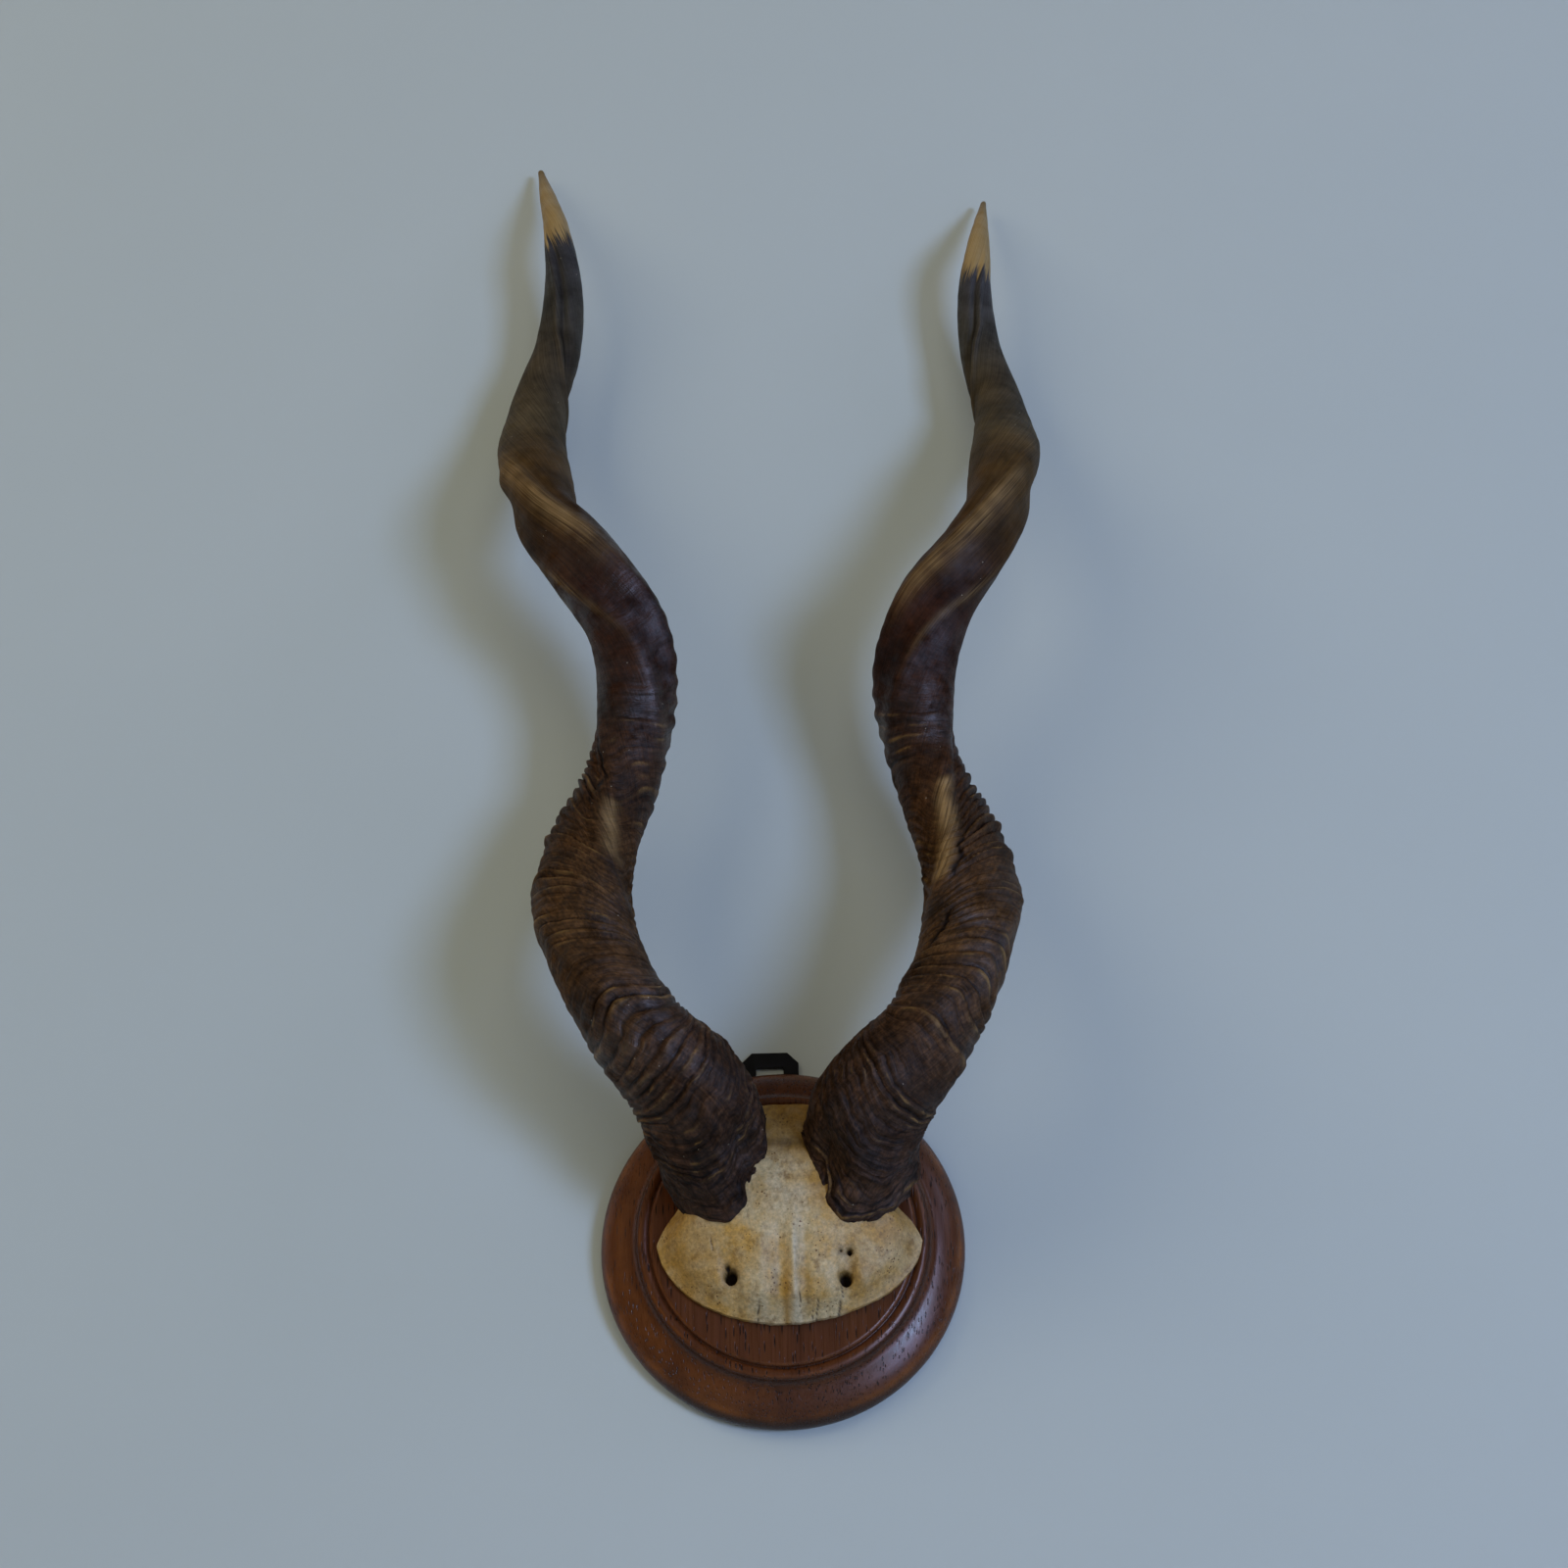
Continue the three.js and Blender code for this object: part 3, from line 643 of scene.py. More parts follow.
class HornCurve:
    """The middle line of a horn, with the directions of its keel and of its flank at every length."""

    def __init__(self, stations, outward):
        self.line, section = smooth_line(stations)
        steps = np.linalg.norm(np.diff(self.line, axis=0), axis=1)
        self.lengths = np.concatenate([[0], np.cumsum(steps)])
        self.length = self.lengths[-1]
        ahead = np.gradient(self.line, self.lengths, axis=0)
        ahead /= np.linalg.norm(ahead, axis=1)[:, None]
        turn = np.radians(section[:, 0])
        keel = np.stack([outward * np.sin(turn), -np.cos(turn), 0 * turn], 1)
        keel -= np.sum(keel * ahead, 1)[:, None] * ahead
        self.keel = keel / np.linalg.norm(keel, axis=1)[:, None]
        self.turn = section[:, 0]
        self.flank = outward * np.cross(ahead, self.keel)
        self.half = section[:, 1]

    def at(self, values, along):
        """Any of the values above, at some lengths along the horn."""
        if values.ndim == 1:
            return np.interp(along, self.lengths, values)
        return np.stack([np.interp(along, self.lengths, column) for column in values.T], 1)


# %% [markdown]
# ## Horns: the surface
# The drum's rings become rings round the horn. The section is a lens: round on the inside of the
# coil and drawn out to the keel on the outside. On it come a second ridge about a quarter turn from
# the keel, a blunt ridge inside the coil, and the growth rings. Those follow the rim near the bone,
# then run round the horn and bend down beside the inner ridge, as the horn's own rings do. They are
# real relief, mostly about 1 mm deep and over 3 mm in places, because they show in the outline.

# %% Horn section
KEEL_STRETCH = 0.14
KEEL_POINT = 0.12
FLANK_FULLNESS = 1.035

INNER_RIDGE = {  # how far it lies off the line opposite the keel, at some shares of the length
    "horn_left": ([0.27, 0.34], [0.80, -0.02]),
    "horn_right": ([0.26, 0.36], [0.92, 0.10]),
}


def off_inner_ridge(name, around, share):
    """Angle from the ridge inside the coil, which lies about opposite the keel."""
    return np.mod(around - np.interp(share, *INNER_RIDGE[name]), 2 * math.pi) - math.pi


def lens(curve, along, around, lift):
    """Points on the horn's skin, with a lift off the plain lens section."""
    half = curve.at(curve.half, along)
    rounding = np.clip((curve.length - along) / (4 * MM), 0, 1)
    half = half * np.sqrt(rounding * (2 - rounding))
    deep = half * (1 + KEEL_STRETCH) * np.cos(around)
    wide = half * FLANK_FULLNESS * np.abs(np.sin(around / 2)) ** KEEL_POINT * np.sin(around)
    thin = np.clip(half / (10 * MM), 0, 1)
    deep = deep + lift * thin * np.cos(around)
    wide = wide + lift * thin * np.sin(around)
    keel, flank = curve.at(curve.keel, along), curve.at(curve.flank, along)
    return curve.at(curve.line, along) + keel * deep[:, None] + flank * wide[:, None]


SECOND_RIDGE = (  # degrees that the keel has turned, and this ridge's angle from the keel there
    [290, 340, 400, 540, 590, 625, 665, 720],
    [1.22, 1.66, 1.75, 2.2, 2.25, 1.92, 1.66, 1.5],
)


def off_second_ridge(curve, along, around):
    """Angle from the second ridge, whose place depends on how far the keel has turned."""
    return around - np.interp(curve.at(curve.turn, along), *SECOND_RIDGE)


def ridges(name, curve, along, around, share):
    """Height of the keel, the second ridge and the inner ridge, less the hollows beside them."""
    keel = 1.4 * MM * bump_at(around, 0, 0.32)
    keel = keel * smoothstep(0.15, 0.25, share) * smoothstep(0.66, 0.56, share)
    crease = 2.0 * MM * bump_at(around, -0.42, 0.18)
    crease = crease * smoothstep(0.53, 0.57, share) * smoothstep(0.67, 0.62, share)
    twisted = smoothstep(0.36, 0.46, share) * smoothstep(0.91, 0.86, share)
    narrow = 0.24 - 0.10 * smoothstep(0.66, 0.76, share)
    beside = off_second_ridge(curve, along, around)
    second = 2.2 * MM * bump_at(beside, 0, narrow) * twisted
    channel = 2.4 * MM * bump_at(beside, -2.4 * narrow, 1.3 * narrow) * twisted
    off = off_inner_ridge(name, around, share)
    inner = 1.8 * MM * bump_at(off, 0, 0.26)
    inner = inner - 2.2 * MM * bump_at(off, 0.36, 0.12) * smoothstep(0.24, 0.3, share)
    inner = inner * smoothstep(0.15, 0.25, share) * smoothstep(0.46, 0.38, share)
    return keel + second + inner - channel - crease


# %% Growth rings
RING_PITCH = 8.5 * MM
SWELL_PITCH = 12.5 * MM  # of the soft swells above the last rings


def ring_wave(place, pitch, lean):
    """A slow rise to a lip and a quicker fall into the next groove, from -1 to 1."""
    share = place / pitch - np.floor(place / pitch)
    rise = 1 - (1 - np.clip(share / lean, 0, 1)) ** 2
    return 2 * np.where(share < lean, rise, smoothstep(1, lean, share)) - 1


def along_only(place, size, seed):
    """Noise that changes from ring to ring, but not round the horn."""
    return noise_at(np.stack([place, 0 * place, 0 * place], 1), size, seed)


def growth_rings(name, along, above_rim, around, share, skin, seed):
    """Height of the growth rings off the skin, their light and dark tone, and the ring position."""
    off = off_inner_ridge(name, around, share)
    wander = 3.2 * MM * noise_at(skin, 0.030, seed) + 1.3 * MM * noise_at(skin, 0.010, seed + 1)
    dive = 38 * MM * bump_at(off, 0, 0.85)
    dive = dive * smoothstep(0.14, 0.24, share) * smoothstep(0.42, 0.3, share)
    arch = -9 * MM * bump_at(around, 0, 0.8) * smoothstep(0.06, 0.15, share)
    round_horn = along + dive + arch
    near_rim = smoothstep(85 * MM, 25 * MM, above_rim)
    place = round_horn + (1.1 * above_rim - round_horn) * near_rim + wander * (1 + 1.6 * near_rim)
    place = place + 2.2 * MM * along_only(place, 0.017, seed + 3)
    broad = ring_wave(place, RING_PITCH, 0.72)
    phase = place / RING_PITCH - np.round(place / RING_PITCH)
    uneven = 0.8 + 1.1 * along_only(place, 0.012, seed + 4)
    patchy = (0.85 + 0.8 * noise_at(skin, 0.022, seed + 2)) * uneven
    off_ridge = 1 - 0.9 * bump_at(off, 0, 0.3) * smoothstep(0.14, 0.22, share)
    outer_side = bump_at(around, -1.35, 0.9) * smoothstep(0.23, 0.28, share) * smoothstep(0.39, 0.35, share)
    inside = 1 - 0.9 * bump_at(off, 0, 0.9) * smoothstep(0.34, 0.39, share)
    strength = smoothstep(0.46, 0.36, share) * off_ridge * inside
    low = smoothstep(0.31, 0.22, share)
    low_side = 1.2 * low * (1 - 0.6 * bump_at(around, 1.6, 0.8))
    rise = 0.6 + low_side + 2.6 * outer_side
    height = rise * MM * broad * strength * patchy * (1 - 0.5 * near_rim)
    swell = 0.8 * MM * np.sin(place * 2 * math.pi / SWELL_PITCH) * bump_at(share, 0.41, 0.05) * inside
    drift = 0.3 * MM * noise_at(skin * (1, 1, 2), 0.02, seed + 6) * smoothstep(0.36, 0.45, share)
    gold = smoothstep(-0.1, 0.35, noise_at(skin, 0.014, seed + 7) + along_only(place, 0.009, seed + 5))
    # Painted shade and light in the tone: darker down in each groove and lighter on each rise, a dark line
    # at the groove's bottom as painted shade, and gold on the lip, which is rubbed keratin and partly a
    # painted highlight.
    tone = 0.5 * broad * (0.3 + along_only(place, 0.007, seed + 5))
    tone = tone + 1.3 * gold * bump_at(phase, -0.3, 0.09)
    tone = tone - 0.85 * bump_at(phase, 0, 0.08)
    tone = tone * strength * np.clip(patchy, 0, 1.3) * (1 - 0.3 * near_rim)
    return height + swell + drift, tone, place


# %% [markdown]
# ## Horns: the rim on the bone
# The sheath ends on the bone in a ragged dark lip. The rim is where the lens section meets the dome,
# found for each direction round the horn, with a little noise to fray it. The drum's first rings
# turn in under that lip and end inside the bone.

# %% Rim
DRUM_SIDES = 124
DRUM_RINGS = 770
LIP_RINGS = 8
LIP_DEPTH = 5 * MM

RIM_DENTS = {  # degrees round the horn, and millimetres that its foot stands back there
    "horn_left": ([-40, 0, 15, 30, 45, 60, 80, 115, 150, 190], [0, 4, 9, 12, 9, 3, 2, 6, 6, 0]),
    "horn_right": ([-60, -20, 0, 20, 40, 60, 80, 120, 145, 175], [0, 4, 9, 12, 9, 4, 2, 5, 6, 0]),
}


def rim_dent(name, around):
    return -MM * np.interp(np.degrees(around), *RIM_DENTS[name], period=360)


def rim_lengths(name, curve, seed):
    """For each direction round the horn, the length at which it comes out of the bone."""
    around = np.linspace(-math.pi, math.pi, 4 * DRUM_SIDES + 1)
    tries = np.arange(0, 140, 0.5) * MM
    rim = np.zeros_like(around)
    for i, angle in enumerate(around):
        turned = np.full_like(tries, angle)
        skin = lens(curve, tries, turned, rim_dent(name, turned))
        buried = -skin[:, 1] < bone_depth(skin[:, 0], skin[:, 2])
        rim[i] = tries[np.flatnonzero(buried)[-1]] if buried.any() else 0
    ends = np.stack([np.cos(around), np.sin(around), 0 * around], 1)
    fray = 1.5 * MM * noise_at(ends, 0.25, seed) + 0.8 * MM * noise_at(ends, 0.07, seed + 1)
    smooth = np.convolve(np.pad(rim[:-1], 12, mode="wrap"), np.full(25, 1 / 25), mode="valid")
    return around, np.append(smooth, smooth[0]) + fray


# %% Horns: what differs from one to the other
HORN_CRACKS = {  # where along the horn it starts and ends, the angle off the inner ridge, and its width
    "horn_left": [(0.335, 0.385, 0.12, 0.04), (0.327, 0.341, 0.22, 0.08)],
    "horn_right": [(0.245, 0.292, 0.32, 0.05), (0.185, 0.222, 0.75, 0.05)],
}
SWELLS = {  # share of the length and its reach, angle round the horn and its reach, millimetres out
    "horn_left": [
        (0.075, 0.028, -0.9, 0.8, 3.6), (0.140, 0.030, -1.6, 0.8, -3.4), (0.570, 0.020, -1.75, 0.7, -4.0),
        (0.618, 0.014, 0.8, 0.5, 2.6), (0.520, 0.035, 2.0, 0.7, 2.6), (0.150, 0.050, 0, 0.6, -1.8),
    ],
    "horn_right": [
        (0.075, 0.028, -0.9, 0.8, 3.6), (0.140, 0.030, -1.6, 0.8, -3.4), (0.585, 0.020, -1.85, 0.7, -3.4),
        (0.775, 0.030, 1.57, 0.7, 3.0), (0.150, 0.050, 0, 0.6, -1.8),
    ],
}
HANDLED = {  # share of the length and its reach, and how much more or less polished the horn is there
    "horn_left": [(0.51, 0.03, 0.3)],
    "horn_right": [(0.125, 0.03, -0.7), (0.51, 0.035, -0.8)],
}
GOLD_BAND = {  # shares of the length where the keel's golden band begins, is full, fades and ends
    "horn_left": (0.485, 0.545, 0.62, 0.67),
    "horn_right": (0.465, 0.52, 0.59, 0.63),
}
WORN_PATCH = {  # first and last share of the length, angle off the inner ridge, and width
    "horn_left": (0.268, 0.316, -0.2, 0.25),
    "horn_right": (0.255, 0.345, 0, 0.27),
}

# %% Horns: shape
DENSE_RINGS = 0.74  # this share of the drum's rings
DENSE_LENGTH = 0.55  # goes to this share of the horn, from the foot up, where the growth rings are
SKIN_RADIUS = 25 * MM  # the places on the skin that are stored lie on a drum of this radius


def drum(sides, rings):
    """A closed drum, 1 high and 1 in radius, with its wall cut into rings."""
    bm = bmesh.new()
    bmesh.ops.create_cone(bm, cap_ends=True, cap_tris=False, segments=sides, radius1=1, radius2=1, depth=1)
    uprights = [e for e in bm.edges if abs(e.verts[0].co.z - e.verts[1].co.z) > 0.5]
    bmesh.ops.subdivide_edges(bm, edges=uprights, cuts=rings - 1, use_grid_fill=True)
    return bm


def horn(name, stations, outward, seed):
    bm = drum(DRUM_SIDES, DRUM_RINGS)
    mesh = bpy.data.meshes.new(name + "_sheath")
    bm.to_mesh(mesh)
    bm.free()
    curve = HornCurve(stations, outward)
    start = points_of(mesh)
    around = np.arctan2(start[:, 0], start[:, 1])
    height = np.clip(start[:, 2] + 0.5, 0, 1)
    lip = LIP_RINGS / DRUM_RINGS
    rim = np.interp(around, *rim_lengths(name, curve, seed))
    climb = np.interp(height, [0, lip, DENSE_RINGS, 1], [0, 0, DENSE_LENGTH, 1])
    along = rim + (curve.length - rim) * climb
    share = along / curve.length
    above_rim = along - rim
    plain = lens(curve, along, around, 0 * along)
    lift = ridges(name, curve, along, around, share)
    lift = lift + rim_dent(name, around) * smoothstep(45 * MM, 16 * MM, above_rim)
    rings, tone, place = growth_rings(name, along, above_rim, around, share, plain, seed + 10)
    lumps = noise_at(plain, 0.045, seed + 20) * (0.6 + 1.2 * smoothstep(0.2, 0.05, share)) * MM
    bark = smoothstep(0.17, 0.06, share)
    knots = (1.5 * noise_at(plain, 0.016, seed + 21) + 0.9 * noise_at(plain, 0.006, seed + 22)) * MM
    ring_grain = np.stack([SKIN_RADIUS * np.cos(around), SKIN_RADIUS * np.sin(around), 2.6 * place], 1)
    fold = noise_at(ring_grain, 0.016, seed + 23)
    folds = 1.2 * MM * (1 - 2 * np.abs(fold) ** 0.6)
    lift = lift + rings + lumps * smoothstep(0.9, 0.6, share) + (knots + folds) * bark
    lift = lift + 1.0 * MM * bump_at(above_rim, 1.5 * MM, 4 * MM)
    tone = tone - 0.8 * bark * bump_at(fold, 0, 0.07)
    off = off_inner_ridge(name, around, share)
    beside = off_second_ridge(curve, along, around)
    begin, full, fade, end = GOLD_BAND[name]
    wear_and_highlight = 0.75 * bump_at(around, 0.12, 0.38)
    wear_and_highlight = wear_and_highlight * smoothstep(begin, full, share) * smoothstep(end, fade, share)
    wear_and_highlight = wear_and_highlight + 0.5 * bump_at(beside, 0, 0.1) * bump_at(share, 0.505, 0.035)
    # Painted highlight: a pale line along the second ridge on the upper twist.
    upper_ridge_highlight = 0.08 * bump_at(beside, 0, 0.1) * smoothstep(0.70, 0.76, share)
    wear_and_highlight = wear_and_highlight + upper_ridge_highlight * smoothstep(0.86, 0.82, share)
    # Painted shade in the channel beside that ridge.
    upper_shade = 0.6 * bump_at(beside, -0.26, 0.1) * smoothstep(0.66, 0.72, share)
    tone = tone - upper_shade * smoothstep(0.88, 0.84, share)
    for middle, reach, angle, spread, out in SWELLS[name]:
        turned = np.mod(around - angle + math.pi, 2 * math.pi) - math.pi
        lift = lift + out * MM * bump_at(share, middle, reach) * bump_at(turned, 0, spread)
    first, last, angle, width = WORN_PATCH[name]
    patch = bump_at(off, angle, width) ** 2 * smoothstep(first - 0.012, first, share)
    wear_and_highlight = wear_and_highlight + 1.25 * patch * smoothstep(last + 0.01, last, share)
    wear_and_highlight = wear_and_highlight * (0.75 + 0.5 * noise_at(plain, 0.012, seed + 30))
    for first, last, angle, width in HORN_CRACKS[name]:
        slit = bump_at(off + 0.04 * np.sin(share * 300), angle, width)
        slit = slit * smoothstep(first, first + 0.008, share) * smoothstep(last, last - 0.008, share)
        lift = lift - 1.6 * MM * slit
        tone = tone - 1.6 * slit
        wear_and_highlight = wear_and_highlight * (1 - slit)
    tucked = np.clip(1 - height / lip, 0, 1)
    along = along - LIP_DEPTH * tucked
    lift = lift * (1 - tucked) - LIP_DEPTH * smoothstep(0, 1, tucked)
    points = lens(curve, np.maximum(along, 0), around, lift)
    move_points(mesh, points)
    store(mesh, "along", share)
    # The ring tone carries painted shade in the grooves and a partly painted highlight on the crests.
    store(mesh, "ring", np.clip(tone, -1, 1))
    # The wear includes a painted highlight line on the upper second ridge.
    store(mesh, "wear_and_highlight", np.clip(wear_and_highlight, 0, 1))
    handled = 1 + 0 * share
    for middle, reach, more in HANDLED[name]:
        handled = handled * (1 + more * bump_at(share, middle, reach))
    store(mesh, "handled", handled)
    grain = np.stack([SKIN_RADIUS * np.cos(around), SKIN_RADIUS * np.sin(around), along], 1)
    store(mesh, "grain", grain, "FLOAT_VECTOR")
    store(mesh, "skin", np.stack([grain[:, 0], grain[:, 1], place], 1), "FLOAT_VECTOR")
    return mesh


# %% Horns: placing
HORNS = {  # stations, the side that the keel turns to, and the seed of its noise
    "horn_left": (LEFT_STATIONS, -1, 40),
    "horn_right": (RIGHT_STATIONS, 1, 60),
}

for name, (stations, outward, seed) in HORNS.items():
    place_piece(name + "_sheath", horn(name, stations, outward, seed), horn_finish, "horn", name)

# %% [markdown]
# ## Oak: finish
# Oak turned on a lathe, stained dark red-brown and waxed. The grain runs upright, because the shield
# was cut from a board. Oak has open pores, which take the stain darkest and show as short dark
# dashes. Where hands and dusting have rubbed the stain, on the rim, the left of the shoulder, the
# bead and the edge of the face, the wood is orange. The grooves at the face's edge and at the bead's
# foot are darker, and painted shade darkens the top of the shield, between the horns, and the
# underside of the rim.

# %% Oak material
oak_finish, tree, output = new_material("turned oak, dark stain and wax")
coords = add(tree, "TexCoord").outputs["Object"]
# Growth bands about 12 mm apart, drawn out along the board's length.
band_place = add(tree, "Mapping", {"Vector": coords, "Scale": (85, 85, 4)})
bands = add(tree, "TexNoise", {"Vector": band_place.outputs[0], "Scale": 1.0, "Detail": 6,
                               "Roughness": 0.62, "Distortion": 0.4})
oak = add(tree, "ValToRGB", {"Fac": bands.outputs["Fac"]})
stops = oak.color_ramp.elements
stops[0].position, stops[0].color = 0.30, linear("#48230e")
stops[1].position, stops[1].color = 0.70, linear("#613416")
stops.new(0.45).color = linear("#562c12")
fibre_place = add(tree, "Mapping", {"Vector": coords, "Scale": (900, 900, 26)})
fibre = add(tree, "TexNoise", {"Vector": fibre_place.outputs[0], "Scale": 1.0, "Detail": 3})
fibre_step = add(tree, "MapRange", {"Value": fibre.outputs["Fac"], "From Min": 0.35, "From Max": 0.65,
                                    "To Min": 0.86, "To Max": 1.14})
fibrous = add(tree, "Mix", {"Factor": 1.0, 6: oak.outputs[0], 7: fibre_step.outputs[0]},
              data_type="RGBA", blend_type="MULTIPLY")
# Pores are about 0.3 mm wide. They are drawn 0.5 to 1 mm wide so that they show, and 5 to 9 mm long.
pore_place = add(tree, "Mapping", {"Vector": coords, "Scale": (620, 620, 70)})
pore = add(tree, "TexVoronoi", {"Vector": pore_place.outputs[0], "Scale": 1.0, "Randomness": 1.0})
pore_mask = add(tree, "MapRange", {"Value": pore.outputs["Distance"], "From Min": 0.30, "From Max": 0.16})
pored = add(tree, "Mix", {"Factor": pore_mask.outputs[0], 6: fibrous.outputs[2], 7: linear("#1d0f09")},
            data_type="RGBA")
rub = add(tree, "Attribute", attribute_name="rub").outputs["Fac"]
rub_patch = add(tree, "TexNoise", {"Vector": coords, "Scale": 34, "Detail": 4, "Roughness": 0.6})
rub_step = add(tree, "MapRange", {"Value": rub_patch.outputs["Fac"], "From Min": 0.35, "From Max": 0.65})
rub_share = add(tree, "Math", {0: rub, 1: rub_step.outputs[0]}, operation="MULTIPLY")
worn = add(tree, "Mix", {"Factor": rub_share.outputs[0], 6: pored.outputs[2], 7: linear("#935523")},
           data_type="RGBA")
# Darker in the grooves at the face's edge and the bead's foot; painted shade on the top of the shield and
# under the rim.
dark_grooves_and_painted_shade = add(tree, "Attribute", attribute_name="dark_grooves_and_painted_shade").outputs["Fac"]
shaded = add(tree, "Mix", {"Factor": dark_grooves_and_painted_shade, 6: worn.outputs[2], 7: linear("#150b07")}, data_type="RGBA")
waxy = add(tree, "MapRange", {"Value": fibre.outputs["Fac"], "From Min": 0.35, "From Max": 0.65,
                              "To Min": 0.26, "To Max": 0.38})
pore_relief = add(tree, "Bump", {"Strength": 0.8, "Distance": 0.4 * MM, "Height": pore_mask.outputs[0]},
                  invert=True)
oak_shader = add(tree, "BsdfPrincipled", {
    "Base Color": shaded.outputs[2], "Roughness": waxy.outputs[0], "IOR": 1.5,
    "Specular IOR Level": 0.35, "Normal": pore_relief.outputs[0],
    "Coat Weight": 0.06, "Coat Roughness": 0.24,
})
tree.links.new(oak_shader.outputs[0], output.inputs["Surface"])

# %% [markdown]
# ## Shield
# Turned work is what a spin is for: half the section is drawn once, as the turner's template would
# be, and spun round. The section has a rounded rim, a broad crowned shoulder, a narrow cove, a thin
# bead and a flat face. The recess for the hanging plate and the screw holes are cut afterwards.

# %% Shield: section
SHIELD_RADIUS = 118 * MM
SHIELD_FACE = 37.5 * MM
RIM_HEIGHT = 15 * MM
BEAD_RADIUS = 89.8 * MM
BEAD_HALF = 3.2 * MM
BEAD_FOOT = 33.5 * MM
FACE_RADIUS = 84.5 * MM
SHOULDER_TOP = (99.5 * MM, 24.5 * MM)  # radius and height where the crowned shoulder meets the cove
SPIN_STEPS = 256


def bow(start, end, bulge, steps):
    """Points on a bow between two places. The bulge is a share of the straight distance."""
    start, end = np.array(start), np.array(end)
    side = np.array([start[1] - end[1], end[0] - start[0]]) * bulge
    share = np.linspace(0, 1, steps + 1)[:, None]
    middle = (start + end) / 2 + side
    return [tuple(p) for p in (1 - share) ** 2 * start + 2 * share * (1 - share) * middle + share**2 * end]


def straight(start, end, steps):
    return bow(start, end, 0, steps)


def shield_section():
    """Radius and height of the section, from the middle of the back to the middle of the face."""
    rim = SHIELD_RADIUS
    bead_out, bead_in = BEAD_RADIUS + BEAD_HALF, BEAD_RADIUS - BEAD_HALF
    cove_start = (SHOULDER_TOP[0] - 0.8 * MM, SHOULDER_TOP[1] + 0.3 * MM)
    cove_end = (bead_out + 0.5 * MM, BEAD_FOOT - 2 * MM)
    return [
        *straight((0, 0), (rim - 4 * MM, 0), 12),
        *bow((rim - 1.5 * MM, 2 * MM), (rim - 2.6 * MM, RIM_HEIGHT - 1.5 * MM), -0.33, 12),
        *bow((rim - 3.2 * MM, RIM_HEIGHT - 0.6 * MM), SHOULDER_TOP, -0.14, 16),
        *bow(cove_start, cove_end, 0.22, 12),
        (bead_out + 0.1 * MM, BEAD_FOOT - 0.6 * MM),
        *bow((bead_out, BEAD_FOOT + 0.3 * MM), (bead_in, BEAD_FOOT + 0.9 * MM), -0.4, 12),
        (bead_in - 0.3 * MM, BEAD_FOOT + 0.6 * MM),
        (bead_in - 0.8 * MM, BEAD_FOOT + 0.5 * MM),
        *bow((bead_in - 1.2 * MM, BEAD_FOOT + 0.9 * MM), (FACE_RADIUS - 1.2 * MM, SHIELD_FACE), -0.3, 8),
        *straight((FACE_RADIUS - 2 * MM, SHIELD_FACE), (0, SHIELD_FACE), 30),
    ]


# %% Shield: spinning and cutting
def spun(points, steps):
    """A closed turned shape. Its section's height runs out of the wall."""
    bm = bmesh.new()
    corners = [bm.verts.new((radius, -height, 0)) for radius, height in points]
    wire = [bm.edges.new(pair) for pair in zip(corners, corners[1:])]
    bmesh.ops.spin(bm, geom=corners + wire, cent=(0, 0, 0), axis=(0, 1, 0), angle=2 * math.pi,
                   steps=steps, use_merge=True)
    bmesh.ops.remove_doubles(bm, verts=bm.verts, dist=1e-7)
    bmesh.ops.recalc_face_normals(bm, faces=bm.faces)
    return bm


def to_object(name, bm):
    mesh = bpy.data.meshes.new(name)
    bm.to_mesh(mesh)
    bm.free()
    made = bpy.data.objects.new(name, mesh)
    bpy.context.scene.collection.objects.link(made)
    return made


def cut(body, cutters):
    """Cuts each cutter out of a body, and returns the mesh that is left."""
    for cutter in cutters:
        modifier = body.modifiers.new(cutter.name, "BOOLEAN")
        modifier.operation = "DIFFERENCE"
        modifier.solver = "EXACT"
        modifier.object = cutter
    bpy.context.view_layer.update()
    graph = bpy.context.evaluated_depsgraph_get()
    mesh = bpy.data.meshes.new_from_object(body.evaluated_get(graph))
    for spent in (body, *cutters):
        bpy.data.objects.remove(spent)
    return mesh


GAP = 0.3 * MM
PLATE_MIDDLE = -6.3 * MM
PLATE_HALF = 19.5 * MM
PLATE_TOP = 135.5 * MM
PLATE_BOTTOM = 64 * MM
PLATE_THICKNESS = 2.6 * MM
PLATE_CHAMFER = 7.5 * MM
CAP_SCREWS = {  # right and up
    "left": (-36 * MM, 22 * MM),
    "right": (43 * MM, 22 * MM),
    "lower": (3.5 * MM, -32 * MM),
}
PLATE_SCREWS = {  # right and up
    "upper": (PLATE_MIDDLE, 89 * MM),
    "lower": (PLATE_MIDDLE, 72 * MM),
}


def plate_blank(margin, top, back, front):
    """The plate's outline as a solid board, between two distances out of the wall."""
    half, low, nip = PLATE_HALF + margin, PLATE_BOTTOM - margin, PLATE_CHAMFER
    corners = [(-half + nip, low), (half - nip, low), (half, low + nip), (half, top - nip),
               (half - nip, top), (-half + nip, top), (-half, top - nip), (-half, low + nip)]
    bm = bmesh.new()
    verts = [bm.verts.new((PLATE_MIDDLE + x, -back, z)) for x, z in corners]
    face = bm.faces.new(verts)
    raised = bmesh.ops.extrude_face_region(bm, geom=[face])["geom"]
    lifted = [v for v in raised if isinstance(v, bmesh.types.BMVert)]
    bmesh.ops.translate(bm, verts=lifted, vec=(0, back - front, 0))
    bmesh.ops.recalc_face_normals(bm, faces=bm.faces)
    return bm


